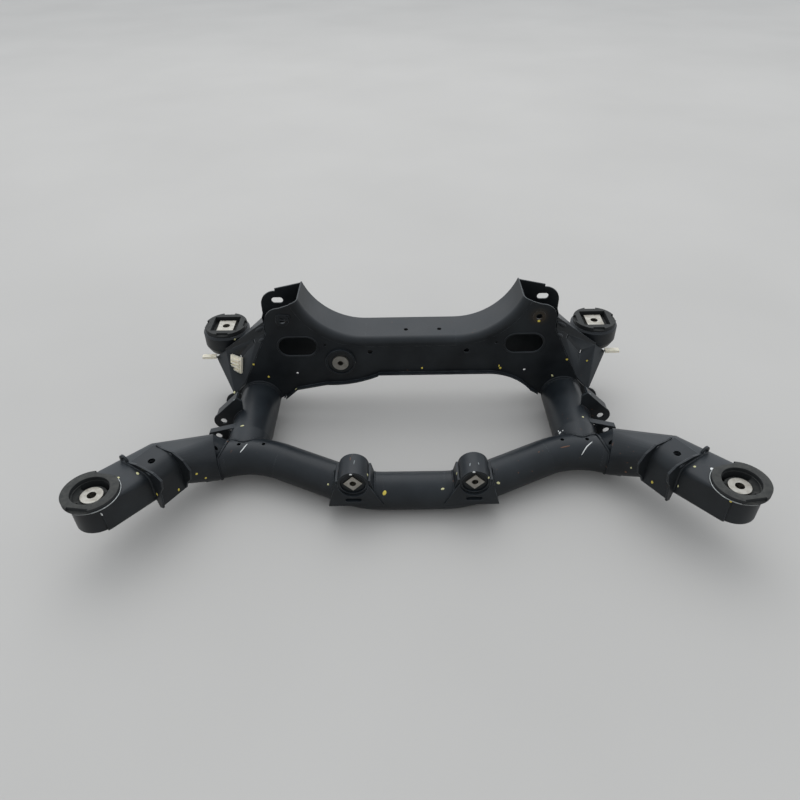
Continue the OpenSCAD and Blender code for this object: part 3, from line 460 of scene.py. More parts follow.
END_RUN = NEAR_MOUNT - WAIST
END_HEADING = math.atan2(END_RUN.y, END_RUN.x)


def on_side(point, side):
    return Vector((point.x * SIDES[side], point.y, point.z))


def angles(first, last, steps):
    """Angles in radians at equal steps from one angle in degrees to another."""
    return [math.radians(first + (last - first) * k / steps) for k in range(steps + 1)]


def struck(objects, start, heading):
    """The first of some objects that a ray in millimetres meets, and where, or None."""
    found = []
    for obj in objects:
        hit, place, _, _ = obj.ray_cast(start * MM, heading.normalized())
        if hit:
            found.append(((place / MM - start).length, obj.name, place / MM))
    return min(found)[1:] if found else None


def runs(points):
    """Split a list with gaps into its unbroken stretches."""
    found, now = [], []
    for point in list(points) + [None]:
        if point is None:
            if len(now) > 2:
                found.append(now)
            now = []
        else:
            now.append(point)
    return found


def evenly(points, step):
    """Points at equal steps along a path."""
    out, carry = [points[0]], 0.0
    for first, second in zip(points, points[1:]):
        span = (second - first).length
        at = step - carry
        while at < span:
            out.append(first.lerp(second, at / span))
            at += step
        carry = span - (at - step)
    return out


def deselect():
    bpy.ops.object.select_all(action="DESELECT")


def apply_all(obj):
    """Apply an object's modifiers in order."""
    bpy.context.view_layer.objects.active = obj
    for name in [modifier.name for modifier in obj.modifiers]:
        bpy.ops.object.modifier_apply(modifier=name)


def edited(operator, **settings):
    """Run an operator on the whole mesh of the active object."""
    bpy.ops.object.mode_set(mode="EDIT")
    bpy.ops.mesh.select_all(action="SELECT")
    operator(**settings)
    bpy.ops.object.mode_set(mode="OBJECT")


def copied(node):
    """A copy of a node's mesh with its loose triangles merged."""
    deselect()
    piece = bpy.data.objects.new(node + "_copy", NODES[node].data.copy())
    bpy.context.scene.collection.objects.link(piece)
    piece.select_set(True)
    bpy.context.view_layer.objects.active = piece
    edited(bpy.ops.mesh.remove_doubles, threshold=0.01 * MM)
    return piece


def cut(obj, tool):
    """Take one solid out of another and delete it."""
    knife = obj.modifiers.new("cut", "BOOLEAN")
    knife.operation = "DIFFERENCE"
    knife.solver = "EXACT"
    knife.object = tool
    apply_all(obj)
    bpy.data.objects.remove(tool)


def block(place, size, turn=0.0):
    """A box by its middle and size in millimetres, turned about the upright."""
    deselect()
    bpy.ops.mesh.primitive_cube_add(
        size=1, location=place * MM, rotation=(0, 0, turn), scale=Vector(size) * MM
    )
    return bpy.context.object


def drum(place, radius, depth, lying=False, steps=128):
    """A cylinder by its middle and size in millimetres, upright or lying along the vehicle."""
    deselect()
    turn = (math.pi / 2, 0, 0) if lying else (0, 0, 0)
    bpy.ops.mesh.primitive_cylinder_add(
        vertices=steps, radius=radius * MM, depth=depth * MM, location=place * MM, rotation=turn
    )
    return bpy.context.object


def dome(segments, rings, radius, foot):
    """A ball that is cut off flat at its foot."""
    deselect()
    bpy.ops.mesh.primitive_uv_sphere_add(segments=segments, ring_count=rings, radius=radius)
    edited(
        bpy.ops.mesh.bisect, plane_co=(0, 0, foot), plane_no=(0, 0, 1), use_fill=True, clear_inner=True
    )
    return bpy.context.object


def plate(corners, thick, side):
    """A flat sheet on the four corners of its middle plane."""
    deselect()
    bpy.ops.mesh.primitive_plane_add(size=1)
    sheet = bpy.context.object
    for vertex, corner in zip(sheet.data.vertices, corners):
        vertex.co = on_side(Vector(corner), side) * MM
    wall = sheet.modifiers.new("wall", "SOLIDIFY")
    wall.thickness = thick * MM
    wall.offset = 0
    apply_all(sheet)
    edited(bpy.ops.mesh.normals_make_consistent, inside=False)
    return sheet


def soften(obj, width, segments):
    """Round the sharp edges of an object."""
    edge = obj.modifiers.new("edge", "BEVEL")
    edge.width = width * MM
    edge.segments = segments
    edge.limit_method = "ANGLE"
    edge.angle_limit = math.radians(50)
    apply_all(obj)


def smooth(obj, degrees):
    """Shade an object smooth, apart from its sharper edges."""
    deselect()
    obj.select_set(True)
    bpy.ops.object.shade_smooth_by_angle(angle=math.radians(degrees))


def joined(pieces):
    """Join some objects into the first and apply its place."""
    deselect()
    for piece in pieces:
        piece.select_set(True)
    bpy.context.view_layer.objects.active = pieces[0]
    if len(pieces) > 1:
        bpy.ops.object.join()
    bpy.ops.object.transform_apply()
    return bpy.context.object


def sweep(name, paths, radius, finish, seed=None, closed=False, tapered=False):
    """A round bar along each path, as one mesh: rippled as a weld if seeded, thin at its ends if tapered."""
    rng = random.Random(seed)
    deselect()
    bpy.ops.curve.primitive_nurbs_path_add(location=(0, 0, 0))
    curve = bpy.context.object.data
    curve.splines.clear()
    curve.bevel_depth = radius
    curve.bevel_resolution = 2
    curve.use_fill_caps = True
    for path in paths:
        places = evenly(path, sizes().bead_pitch / MM / 2)
        spline = curve.splines.new("POLY")
        spline.points.add(len(places) - 1)
        spline.use_cyclic_u = closed
        for count, (point, place) in enumerate(zip(spline.points, places)):
            point.radius = 1.0
            if tapered:
                point.radius = 0.35 + 0.65 * math.sin(math.pi * (count + 0.5) / len(places)) ** 0.5
            if seed is not None:
                place = place + Vector([rng.uniform(-0.25, 0.25) for _ in range(3)])
                point.radius = (1.13 if count % 2 else 0.87) + rng.uniform(-0.08, 0.08)
            point.co = (place * MM).to_4d()
    bpy.ops.object.convert(target="MESH")
    bpy.ops.object.shade_smooth()
    return keep(bpy.context.object, name, finish)


def wall_ring(side, ahead):
    """Around a side tube, this far ahead of the crossmember's wall."""
    points = []
    for turn in angles(0, 360, 120):
        ray = Vector((math.cos(turn), 0, math.sin(turn)))
        at = on_side(Vector((SIDE_X, WALL_FRONT, SIDE_Z)) + SIDE_OD / 2 * ray, side)
        wall = struck([NODES["crossmember_front"]], at - Vector((0, 20, 0)), Vector((0, 1, 0)))
        stands = wall is not None and wall[1].y < WALL_FRONT + 5 and at.z > BEAD_FLOOR
        points.append(at - Vector((0, ahead, 0)) if stands else None)
    return runs(points)


def tube_foot(side, collar):
    """Where a side tube's neck stands on the bent tube and the collar."""
    foot = on_cross(SIDE_X, BEND2[1])
    points = []
    for turn in angles(0, 360, 120):
        ray = Vector((math.cos(turn), 0, math.sin(turn)))
        start = Vector((SIDE_X, NECK_Y, SIDE_Z)) + SIDE_OD / 2 * ray
        end = Vector((SIDE_X, foot.y, SIDE_Z)) + CROSS_OD / 2 * ray
        found = struck([NODES["cross_tube"], collar], on_side(start, side), on_side(end - start, side))
        points.append(found[1] if found and found[1].z > BEAD_FLOOR else None)
    return runs(points)


def collar_ray(turn):
    """Direction out of the bent tube's end, 0 up and growing to the rear."""
    return math.cos(turn) * Vector((0, 0, 1)) + math.sin(turn) * STUB_BACK


def collar_tip(turn, proud):
    """Point of the collar's end, this far out of the bent tube."""
    rear_up = math.cos(turn - math.pi / 4)
    reach = max(COLLAR_LEAST, math.tan(COLLAR_TILT) * CROSS_OD / 2 * rear_up)
    return MOUTH_AXIS - reach * STUB + (CROSS_OD / 2 + proud) * collar_ray(turn)


def collar_end(side):
    """Where an arm's collar ends on the bent tube, apart from what the side tube hides."""
    tube, branch = NODES["cross_tube"], NODES["side_tube_" + side]
    points = []
    for turn in angles(0, 360, 120):
        start = on_side(collar_tip(turn, 30), side)
        found = struck([tube, branch], start, on_side(-collar_ray(turn), side))
        shows = found and found[0] == tube.name and found[1].z > BEAD_FLOOR
        points.append(found[1] if shows else None)
    return runs(points)


def plate_foot(side, from_mount, face, first, last):
    """Where one face of an upright plate stands on the arm."""
    at = NEAR_MOUNT - from_mount / END_RUN.length * END_RUN
    near = Vector((math.sin(END_HEADING), -math.cos(END_HEADING), 0))
    inward = Vector((-math.cos(END_HEADING), -math.sin(END_HEADING), 0))
    points = []
    for turn in angles(first, last, 60):
        ray = math.cos(turn) * near + math.sin(turn) * Vector((0, 0, 1))
        start = at + RAY_OUT * ray + face * inward
        found = struck([NODES["arm_" + side]], on_side(start, side), on_side(-ray, side))
        points.append(found[1] if found else None)
    return runs(points)


def bracket_foot(side, edge):
    """Where a side of a differential bracket stands on the bent tube."""
    points = []
    low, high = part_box("diff_bracket_" + side)
    axis = on_cross(DIFF_X + edge, BEND1[1] * BRACKET_BACK)
    for turn in angles(215, 60, 60):
        ray = Vector((0, math.cos(turn), math.sin(turn)))
        found = struck([NODES["cross_tube"]], on_side(axis + 120 * ray, side), -ray)
        place = found[1] if found else None
        inside = place is not None and low.y / MM - 1 < place.y < high.y / MM + 1 and place.z > low.z / MM
        points.append(place if inside else None)
    return runs(points)


def ear_foot(side, ear, face):
    """Where one face of a link ear stands on the side tube."""
    points = []
    for turn in angles(-60, 120, 90):
        ray = Vector((math.cos(turn), 0, math.sin(turn)))
        at = Vector((SIDE_X, face, SIDE_Z)) + (SIDE_OD / 2 + 0.3) * ray
        just_out = at + 2 * ray - Vector((0, 8, 0))
        found = struck([NODES[ear + side]], on_side(just_out, side), Vector((0, 1, 0)))
        points.append(on_side(at, side) if found and abs(found[1].y - face) < 6 else None)
    return runs(points)


def stadium(centre, width, height, turn=0.0):
    """Closed path around a slot in an upright wall."""
    r, half = height / 2, (width - height) / 2
    path = []
    for start, middle_x in ((-90, half), (90, -half)):
        for a in angles(start, start + 180, 24):
            path.append((middle_x + r * math.cos(a), r * math.sin(a)))
    c, s = math.cos(turn), math.sin(turn)
    return [centre + Vector((c * x - s * z, 0, s * x + c * z)) for x, z in path]


def sighted(node, pixel):
    """Where the camera's ray through a pixel of the photo meets a node."""
    across, down = ((v / PHOTO_SIZE - 0.5) * CAMERA_SENSOR / CAMERA_LENS for v in pixel)
    ray = across * CAMERA_RIGHT - down * CAMERA_UP - CAMERA_BACK
    found = struck([bpy.data.objects[node]], CAMERA_AT / MM, ray)
    if not found:
        raise RuntimeError("the ray misses " + node)
    return found[1]


def seat(node, at, along):
    """Frame on a node's surface at its nearest point: x along it, z out of it."""
    surface = bpy.data.objects[node]
    hit, place, out, _ = surface.closest_point_on_mesh(Vector(at) * MM)
    if not hit:
        raise RuntimeError("no surface near " + node)
    across = out.cross(along).normalized()
    turn = Matrix((across.cross(out), across, out)).transposed().to_4x4()
    return Matrix.Translation(place) @ turn


def placed(model, spot, size):
    """A copy of a model with its own mesh, at a frame and a size."""
    obj = model.copy()
    obj.data = model.data.copy()
    bpy.context.scene.collection.objects.link(obj)
    obj.matrix_world = spot @ Matrix.Diagonal((*size, 1))
    return obj


class SUBFRAME_OT_finishes(bpy.types.Operator):
    """Give every solid of the part its finish"""

    bl_idname = "subframe.finishes"
    bl_label = "Finishes"

    def execute(self, context):
        tint = colours()
        # Each paint is lightened on what faces up, by dust and by a painted sheen, up to the given share
        tube = dip_paint("Dip_painted_tube", upward_pale_most=0.16, rough=0.4)
        sheet = dip_paint("Dip_painted_pressing", upward_pale_most=0.14, rough=0.43)
        front = dip_paint("Dip_painted_front_wall", upward_pale_most=0.14, rough=0.43, stain=STAIN * MM)
        rubber = bush_rubber("Moulded_rubber", upward_pale_most=0.24)
        # The far, differential and nose bushes get a darker rubber, with half the pale top of the near rubber
        rubber_dark = bush_rubber("Moulded_rubber_clean", upward_pale_most=0.12)
        zinc = bare_steel("Zinc_plated_steel", tint.zinc, tint.zinc_dull)
        bare_steel("Bare_steel", tint.steel, tint.steel_dull)
        nylon = moulded_nylon("Natural_nylon")
        pen_paint("Yellow_pen_paint", tint.pen_yellow)
        pen_paint("Pale_pen_paint", tint.pen_pale)
        pen_paint("White_pen_paint", tint.pen_white)
        pen_paint("Grey_primer_chip", tint.pen_grey)
        pen_paint("Rust_streak", tint.rust)
        plain = {
            "cross_tube": tube, "side_tube": tube, "arm": tube, "near_housing": tube,
            "saddle": sheet, "crossmember_front": front, "crossmember_rear": sheet, "mount_plate": sheet,
            "corner_panel": sheet, "far_cup": sheet, "link_ear": sheet, "diff_bracket": sheet,
            "diff_housing": tube, "nose_housing": sheet, "near_can": zinc, "far_can": zinc,
            "near_rubber": rubber, "far_rubber": rubber_dark, "diff_rubber": rubber_dark,
            "nose_rubber": rubber_dark, "harness": nylon,
        }
        upright, level = (0, 0, 0), (math.pi / 2, 0, 0)
        turned = {"near_sleeve": upright, "far_sleeve": upright, "diff_core": level, "nose_core": level}
        for name, obj in NODES.items():
            found = [finish for key, finish in plain.items() if name.startswith(key)]
            turns = [turn for key, turn in turned.items() if name.startswith(key)]
            if turns:
                found = [turned_aluminium("Turned_aluminium_" + name, middle(name), turns[0], tarnish=0.5)]
            if len(found) != 1:
                raise RuntimeError("no single finish for " + name)
            painted(obj, found[0])
        return {"FINISHED"}


class SUBFRAME_OT_tower_step(bpy.types.Operator):
    """Rear pressing with the step in the top edge of each link tower"""

    bl_idname = "subframe.tower_step"
    bl_label = "Tower step"

    def execute(self, context):
        piece = copied("crossmember_rear")
        wide, _, high = STEP_BLOCK
        for s in SIDES.values():
            step = block(Vector((s * (TAB_X + wide / 2), WALL_REAR, STEP_Z + high / 2)), STEP_BLOCK)
            cut(step, drum(Vector((s * (TAB_X + 1), WALL_REAR, STEP_Z)), STEP_R, depth=60, lying=True))
            cut(piece, step)
        keep(piece, "rear_pressing", "Dip_painted_pressing")
        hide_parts("crossmember_rear")
        return {"FINISHED"}


class SUBFRAME_OT_collars(bpy.types.Operator):
    """Collars that taper from the arms on to the bent tube, longest at their upper rear"""

    bl_idname = "subframe.collars"
    bl_label = "Arm collars"

    def execute(self, context):
        hole = on_cross(SIDE_X, BEND2[1]) + COLLAR_HOLE
        for side in SIDES:
            deselect()
            bpy.ops.mesh.primitive_cylinder_add(vertices=COLLAR_STEPS, radius=1, depth=2)
            piece = context.object
            for vertex in piece.data.vertices:
                turn = math.atan2(vertex.co.x, vertex.co.y)
                wide = MOUTH + COLLAR_LAP * STUB + sizes().collar_radius / MM * collar_ray(turn)
                place = wide if vertex.co.z > 0 else collar_tip(turn, -COLLAR_SUNK)
                vertex.co = on_side(place, side) * MM
            edited(bpy.ops.mesh.normals_make_consistent, inside=False)
            cut(piece, drum(on_side(hole, side), COLLAR_HOLE_R, depth=30, steps=48))
            smooth(piece, 35)
            keep(piece, "arm_collar_" + side, "Dip_painted_tube")
        return {"FINISHED"}


class SUBFRAME_OT_corner_panels(bpy.types.Operator):
    """Corner panels with their upright flange, the sheet behind it and two pressed ribs"""

    bl_idname = "subframe.corner_panels"
    bl_label = "Corner panels"

    def execute(self, context):
        up = Vector((0, 0, sizes().flange_height / MM))
        run = (PANEL_TOP - PANEL_FRONT) * Vector((1, 1, 0))
        behind = Vector((-run.y, run.x, 0)).normalized()
        room = PANEL_FRONT + ROOM_ALONG * run + ROOM_BACK * behind - Vector((0, 0, ROOM_DROP))
        sheets = (
            (PANEL_FRONT, PANEL_TOP, PANEL_PEAK + up, PANEL_TOP + up),
            (PANEL_PEAK, PANEL_TOP, PANEL_REAR, (PANEL_TOP + PANEL_REAR) / 2),
        )
        for side, s in SIDES.items():
            panel = copied("corner_panel_" + side)
            # The sheet behind the flange lies lower than in the solid
            cut(panel, block(on_side(room, side), PANEL_ROOM, s * math.atan2(run.y, run.x)))
            parts = [panel] + [plate(corners, PANEL_SHEET, side) for corners in sheets]
            parts += [self.rib(side, *rib) for rib in PANEL_RIBS]
            piece = joined(parts)
            smooth(piece, 35)
            keep(piece, "folded_panel_" + side, "Dip_painted_pressing")
            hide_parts("corner_panel_" + side)
        return {"FINISHED"}

    def rib(self, side, start, end, out):
        """A pressed rib between two points, standing out of its panel."""
        start, end, out = (on_side(Vector(v), side) for v in (start, end, out))
        along = end - start
        along = (along - along.dot(out) * out).normalized()
        rib = dome(segments=24, rings=12, radius=1, foot=-0.3)
        turn = Matrix((along, out.cross(along), out)).transposed().to_4x4()
        size = Vector(((end - start).length / 2, RIB_HALF_WIDTH, RIB_HEIGHT)) * MM
        rib.matrix_world = Matrix.Translation((start + end) / 2 * MM) @ turn @ Matrix.Diagonal((*size, 1))
        return rib


class SUBFRAME_OT_bracket_aprons(bpy.types.Operator):
    """Front aprons of the differential brackets over the bent tube, each with its slot"""

    bl_idname = "subframe.bracket_aprons"
    bl_label = "Bracket aprons"

    def execute(self, context):
        housing = Vector((DIFF_X, DIFF_Y, DIFF_Z))
        for side in SIDES:
            piece = plate(APRON, APRON_DEPTH, side)
            seat_r = DIFF_OD / 2 + APRON_PLAY
            cut(piece, drum(on_side(housing, side), seat_r, depth=80, lying=True, steps=96))
            for end in (SLOT_AT - SLOT_HALF, SLOT_AT + SLOT_HALF):
                cut(piece, drum(on_side(end, side), SLOT_R, SLOT_DEPTH, lying=True, steps=96))
            cut(piece, block(on_side(SLOT_AT, side), (2 * SLOT_HALF.x, SLOT_DEPTH, 2 * SLOT_R)))
            soften(piece, APRON_EDGE, 2)
            smooth(piece, 35)
            keep(piece, "bracket_apron_" + side, "Dip_painted_pressing")
        return {"FINISHED"}


class SUBFRAME_OT_near_lips(bpy.types.Operator):
    """Near bush rubbers with a rounded lip and the two notches in its rim"""

    bl_idname = "subframe.near_lips"
    bl_label = "Near bush lips"

    def execute(self, context):
        foot = Vector((NEAR_MOUNT.x, NEAR_MOUNT.y, NEAR_TOP))
        lip_at = foot + Vector((0, 0, LIP_HEIGHT / 2))
        above = Vector((0, 0, LIP_CUT_RISE + LIP_CUT[2] / 2))
        for side, s in SIDES.items():
            body = copied("near_rubber_" + side)
            cut(body, block(on_side(foot + above, side), LIP_CUT))
            lip = drum(on_side(lip_at, side), NEAR_LIP_R - LIP_PLAY, LIP_HEIGHT - 2 * LIP_PLAY)
            cut(lip, drum(on_side(lip_at, side), LIP_BORE, depth=40))
            for turn in map(math.radians, NOTCH_TURNS):
                out = Vector((math.cos(turn), math.sin(turn), 0))
                at = lip_at + NOTCH_AT * out + Vector((0, 0, NOTCH_FOOT))
                cut(lip, block(on_side(at, side), (NOTCH_DEPTH, NOTCH_WIDTH, LIP_HEIGHT), s * turn))
            soften(lip, LIP_EDGE, 3)
            piece = joined([body, lip])
            smooth(piece, 40)
            keep(piece, "notched_rubber_" + side, "Moulded_rubber")
            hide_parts("near_rubber_" + side)
        return {"FINISHED"}


class SUBFRAME_OT_tube_beads(bpy.types.Operator):
    """Weld beads of the side tubes on the bent tube and on the crossmember"""

    bl_idname = "subframe.tube_beads"
    bl_label = "Tube weld beads"

    def execute(self, context):
        radius = sizes().bead_radius
        for count, side in enumerate(SIDES):
            collar = bpy.data.objects["arm_collar_" + side]
            paths = wall_ring(side, 0) + tube_foot(side, collar)
            bead, end = radius * TUBE_BEAD, radius * END_BEAD
            sweep("tube_beads_" + side, paths, bead, "Dip_painted_tube", TUBE_SEED + count)
            sweep("tube_end_" + side, wall_ring(side, END_AHEAD), end, "Dip_painted_tube")
        return {"FINISHED"}


class SUBFRAME_OT_arm_beads(bpy.types.Operator):
    """Weld beads of the arms: at their collars and under the saddle plates"""

    bl_idname = "subframe.arm_beads"
    bl_label = "Arm weld beads"

    def execute(self, context):
        for count, side in enumerate(SIDES):
            paths = collar_end(side)
            paths += plate_foot(side, SADDLE_OUTER, -SADDLE_SHEET / 2, *OUTER_FOOT)
            paths += plate_foot(side, SADDLE_INNER, SADDLE_SHEET / 2, *INNER_FOOT)
            bead = sizes().bead_radius
            sweep("arm_beads_" + side, paths, bead, "Dip_painted_tube", ARM_SEED + count)
        return {"FINISHED"}


class SUBFRAME_OT_bracket_beads(bpy.types.Operator):
    """Weld beads of the differential brackets and of the link ears"""

    bl_idname = "subframe.bracket_beads"
    bl_label = "Bracket weld beads"

    def execute(self, context):
        for count, side in enumerate(SIDES):
            paths = bracket_foot(side, BRACKET_HALF) + bracket_foot(side, -BRACKET_HALF)
            paths += ear_foot(side, "link_ear_front_", EAR_FRONT)
            paths += ear_foot(side, "link_ear_rear_", EAR_REAR + EAR_SHEET)
            paths += ear_foot(side, "link_ear_rear_", EAR_REAR)
            bead = sizes().bead_radius * BRACKET_BEAD
            sweep("bracket_beads_" + side, paths, bead, "Dip_painted_tube",
                  BRACKET_SEED + count)
        return {"FINISHED"}


class SUBFRAME_OT_rims(bpy.types.Operator):
    """Rolled rims of the ovals, the slot boss on the left tower and the bare steel rims of the near bushes"""

    bl_idname = "subframe.rims"
    bl_label = "Rims"

    def execute(self, context):
        for side, s in SIDES.items():
            grow = 2 * sizes().rim_radius / MM * OVAL_GROW
            oval = stadium(Vector((s * OVAL_X, WALL_FRONT, OVAL_Z)), OVAL_W + grow, OVAL_H + grow)
            sweep("oval_rim_" + side, [oval], sizes().rim_radius, "Dip_painted_front_wall",
                  closed=True)
            wall = (0, WALL_FRONT * MM, 0)
            edited(bpy.ops.transform.resize, value=(1, OVAL_FLAT, 1), center_override=wall)
            rims = []
            for radius, level, first, last in BUSH_RIMS:
                around = [Vector((math.cos(t), math.sin(t), 0)) for t in angles(first, last, 60)]
                middle_at = Vector((NEAR_MOUNT.x, NEAR_MOUNT.y, level))
                rims.append([on_side(middle_at + radius * out, side) for out in around])
            sweep("bush_rim_" + side, rims, BUSH_RIM_R * MM, "Bare_steel")
        boss = stadium(BOSS_AT, BOSS_W, BOSS_H, math.radians(BOSS_TURN))
        sweep("tower_slot_boss", [boss], BOSS_R * MM, "Dip_painted_front_wall", closed=True)
        return {"FINISHED"}


class SUBFRAME_OT_pen_dots(bpy.types.Operator):
    """Dabs of pen paint and small chips, seated where the inspector and the road left them"""

    bl_idname = "subframe.pen_dots"
    bl_label = "Pen dots"

    # Node, pixel of the photo that shows the dab or its place in millimetres, width, length, and the
    # direction in which it is drawn out
    MARKS = {
        "yellow": (
            ("saddle_outer_left", (157.1, 494.3), 4, 8, DOWN),
            ("saddle_skin_left", (178.8, 489.7), 4, 7, DOWN),
            ("arm_left", (196.6, 473.9), 5, 5, DOWN),
            ("arm_left", (205.8, 478), 4, 6, DOWN),
            ("saddle_skin_right", (652.1, 482.2), 5, 7, DOWN),
            ("arm_right", (537, -295, 146), 5, 7, DOWN),
            ("crossmember_front", (253.6, 364.5), 5, 5, DOWN),
            ("crossmember_front", (268.8, 376.8), 5, 6, DOWN),
            ("crossmember_front", (277, 148, 246.5), 6, 6, DOWN),
            ("crossmember_front", (566.9, 359.5), 5, 5, DOWN),
            ("crossmember_front", (500.2, 367.9), 5, 6, DOWN),
            ("crossmember_front", (200.4, 150, 129), 3, 6, DOWN),
            ("crossmember_front", (25.5, 150, 126), 5, 5, DOWN),
            ("cross_tube", (384.5, 492.9), 7, 10, (-0.4, 0, -1)),
            ("folded_panel_right", (586.9, 360.7), 5, 5, DOWN),
        ),
        "pale": (
            ("arm_left", (118.2, 477.8), 5, 6, (0, -1, 0)),
            ("arm_left", (137.6, 473.4), 5, 8, (1, -1, 0)),
            ("arm_right", (694.6, 466.6), 5, 5, (0, -1, 0)),
            ("arm_right", (631.1, 467.8), 3, 5, DOWN),
            ("arm_right", (678, 486.1), 3, 6, DOWN),
            ("folded_panel_left", (-364.1, 170.4, 207.9), 5, 5, DOWN),
            ("far_cup_left", (235, 339.4), 5, 5, DOWN),
            ("crossmember_front", (295.9, 389.1), 5, 7, DOWN),
            ("folded_panel_left", (234.4, 392.4), 5, 6, DOWN),
            ("side_tube_left", (242.3, 425.8), 4, 9, (1, 0, 0)),
            ("crossmember_front", (552.2, 375.6), 4, 8, (0.6, 0, -1)),
            ("folded_panel_right", (381.4, 177.4, 189.4), 5, 5, DOWN),
            ("side_tube_right", (582.9, 416.9), 5, 5, DOWN),
            ("diff_bracket_right", (456.7, 473.5), 4, 6, DOWN),
            ("cross_tube", (442.7, 488.9), 4, 7, (1, 0, 0.3)),
            ("cross_tube", (498.3, 483), 5, 8, (1, 0, -0.4)),
            ("diff_housing_right", (488.7, 477.7), 3, 6, DOWN),
            ("diff_housing_left", (367.6, 474.9), 5, 6, DOWN),
            ("cross_tube", (328.1, 484.4), 4, 4, DOWN),
        ),
        "white": (
            ("arm_left", (101.5, 514.2), 7, 7, DOWN),
            ("arm_right", (712.1, 468.9), 7, 7, (0, -1, 0)),
            ("diff_housing_left", (350.5, 474.6), 4, 6, (1, 0, 0)),
            ("diff_housing_right", (474, 472.1), 4, 6, (1, 0, 0)),
            ("side_tube_right", (312.5, -19.5, 72), 5, 7, (1, 0, 0)),
            ("side_tube_right", (311.5, -13, 71), 3, 5, (0, 1, 0)),
            ("side_tube_right", (318.5, -20, 78), 3, 3, (0, 1, 0)),
        ),
        "grey": (
            ("crossmember_front", (241.7, 393.8), 4, 5, DOWN),
            ("link_ear_rear_left", (234.1, 399.8), 4, 5, DOWN),
            ("link_ear_rear_right", (590.1, 393.9), 4, 5, DOWN),
            ("diff_housing_right", (107, -160, 119), 2, 9, (0.2, 1, 0)),
            ("diff_housing_right", (124, -158, 119), 2, 6, (-0.1, 1, 0)),
            ("diff_housing_left", (-114, -150, 119.5), 1.6, 12, (0.1, 1, 0)),
        ),
        "rust": (
            ("arm_right", (625.7, 472), 4, 5, DOWN),
            ("cross_tube", (565.4, 446.7), 2.4, 22, (1, 0.25, 0)),
            ("diff_housing_left", (-122, -140, 119), 1.6, 9, (0, 1, 0)),
        ),
    }
    FINISH = {"yellow": "Yellow_pen_paint", "pale": "Pale_pen_paint", "white": "White_pen_paint",
              "grey": "Grey_primer_chip", "rust": "Rust_streak"}

    def execute(self, context):
        model = dome(segments=14, rings=8, radius=0.5, foot=-0.35)
        edited(bpy.ops.transform.vertex_random, offset=0.06, seed=4)
        bpy.ops.object.shade_smooth()
        for kind, marks in self.MARKS.items():
            dabs = []
            for count, (node, at, width, long, drawn) in enumerate(marks):
                place = sighted(node, at) if len(at) == 2 else at
                # A round dab is turned, so that it differs from its neighbours
                turn = Matrix.Rotation(DAB_TURN * (count % 3 - 1) * (long == width), 4, "Z")
                spot = seat(node, place, Vector(drawn)) @ turn
                dabs.append(placed(model, spot, (long * MM, width * MM, 2 * sizes().dot_height)))
            piece = joined(dabs)
            keep(piece, "pen_dots_" + kind, self.FINISH[kind])
        bpy.data.objects.remove(model)
        return {"FINISHED"}


class SUBFRAME_OT_pen_strokes(bpy.types.Operator):
    """White pen strokes across the bent tube, beside its side tubes"""

    bl_idname = "subframe.pen_strokes"
    bl_label = "Pen strokes"

    # Pixels of the photo along each stroke
    STROKES = {
        "left": ((247.4, 443.8), (242.8, 449.4), (240, 452.5)),
        "right": ((592.4, 441.6), (587, 446.5), (584.3, 450.5), (581, 456)),
    }

    def execute(self, context):
        for side, points in self.STROKES.items():
            path = []
            for place in evenly([sighted("cross_tube", p) for p in points], STROKE_STEP):
                _, on, out, _ = NODES["cross_tube"].closest_point_on_mesh(place * MM)
                path.append(on / MM - STROKE_SUNK * out)
            sweep("pen_stroke_" + side, [path], STROKE_R * MM, "White_pen_paint", tapered=True)
        return {"FINISHED"}


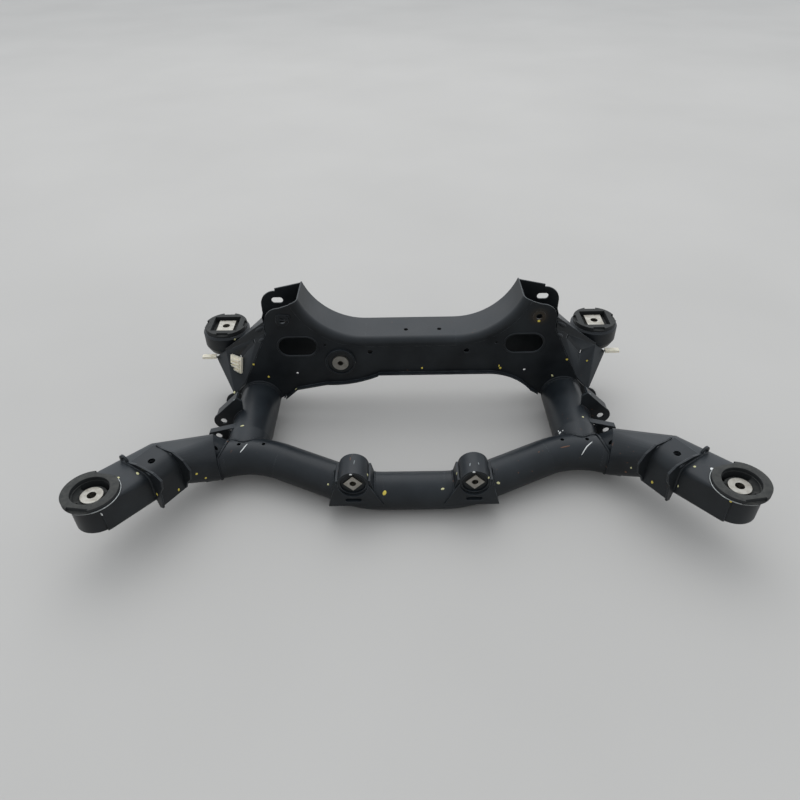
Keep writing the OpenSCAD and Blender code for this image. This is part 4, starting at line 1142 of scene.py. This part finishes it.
class SUBFRAME_OT_stage(bpy.types.Operator):
    """Floor, light and camera"""

    bl_idname = "subframe.stage"
    bl_label = "Stage"

    def execute(self, context):
        scene = context.scene
        deselect()
        bpy.ops.mesh.primitive_plane_add(size=60, location=(0, 0, 0))
        floor = context.object
        floor.name = "floor"
        painted(floor, pale_floor("Pale_floor"))
        world = bpy.data.worlds.new("Overcast")
        scene.world = world
        world.use_nodes = True
        tree = world.node_tree
        sky = tree.nodes["Background"]
        # Overcast daylight, brighter behind the object than in front of it
        heading = add(tree, "ShaderNodeTexCoord", "Generated", {})
        behind = add(tree, "ShaderNodeSeparateXYZ", "Y", {0: heading})
        level = add(tree, "ShaderNodeMapRange", "Result", {
            "Value": behind, "From Min": -1.0, "From Max": 1.0, "To Min": 0.6, "To Max": 1.6
        })
        fill(tree, sky, {"Strength": level, "Color": colours().daylight})
        bpy.ops.object.light_add(type="AREA", location=LAMP_AT, rotation=LAMP_TURN)
        lamp = context.object
        lamp.name = "soft_box"
        lamp.data.shape = "SQUARE"
        lamp.data.size = LAMP_SIZE
        lamp.data.energy = LAMP_WATTS
        bpy.ops.object.camera_add()
        camera = context.object
        camera.name = "camera"
        camera.data.sensor_width = CAMERA_SENSOR
        camera.data.lens = CAMERA_LENS
        turn = Matrix((CAMERA_RIGHT, CAMERA_UP, CAMERA_BACK)).transposed().to_4x4()
        camera.matrix_world = Matrix.Translation(CAMERA_AT) @ turn
        scene.camera = camera
        scene.view_settings.view_transform = "Standard"
        return {"FINISHED"}


OPERATORS = (
    SUBFRAME_OT_stage,
    SUBFRAME_OT_finishes,
    SUBFRAME_OT_tower_step,
    SUBFRAME_OT_collars,
    SUBFRAME_OT_corner_panels,
    SUBFRAME_OT_bracket_aprons,
    SUBFRAME_OT_near_lips,
    SUBFRAME_OT_tube_beads,
    SUBFRAME_OT_arm_beads,
    SUBFRAME_OT_bracket_beads,
    SUBFRAME_OT_rims,
    SUBFRAME_OT_pen_dots,
    SUBFRAME_OT_pen_strokes,
)


class SUBFRAME_PT_dressing(bpy.types.Panel):
    """Lists the steps of the dressing"""

    bl_idname = "SUBFRAME_PT_dressing"
    bl_label = "Subframe"
    bl_space_type = "VIEW_3D"
    bl_region_type = "UI"
    bl_category = "Subframe"

    def draw(self, context):
        for group in (context.scene.subframe_sizes, context.scene.subframe_colours):
            for name in group.__annotations__:
                self.layout.prop(group, name)
        for step in OPERATORS:
            self.layout.operator(step.bl_idname)


CLASSES = (SubframeSizes, SubframeColours, *OPERATORS, SUBFRAME_PT_dressing)


def register():
    for kind in CLASSES:
        bpy.utils.register_class(kind)
    bpy.types.Scene.subframe_sizes = bpy.props.PointerProperty(type=SubframeSizes)
    bpy.types.Scene.subframe_colours = bpy.props.PointerProperty(type=SubframeColours)


def unregister():
    del bpy.types.Scene.subframe_colours
    del bpy.types.Scene.subframe_sizes
    for kind in reversed(CLASSES):
        bpy.utils.unregister_class(kind)


def main():
    register()
    bpy.ops.subframe.stage()
    bpy.ops.subframe.finishes()
    bpy.ops.subframe.tower_step()
    bpy.ops.subframe.collars()
    bpy.ops.subframe.corner_panels()
    bpy.ops.subframe.bracket_aprons()
    bpy.ops.subframe.near_lips()
    bpy.ops.subframe.tube_beads()
    bpy.ops.subframe.arm_beads()
    bpy.ops.subframe.bracket_beads()
    bpy.ops.subframe.rims()
    bpy.ops.subframe.pen_dots()
    bpy.ops.subframe.pen_strokes()


if __name__ == "__main__":
    main()
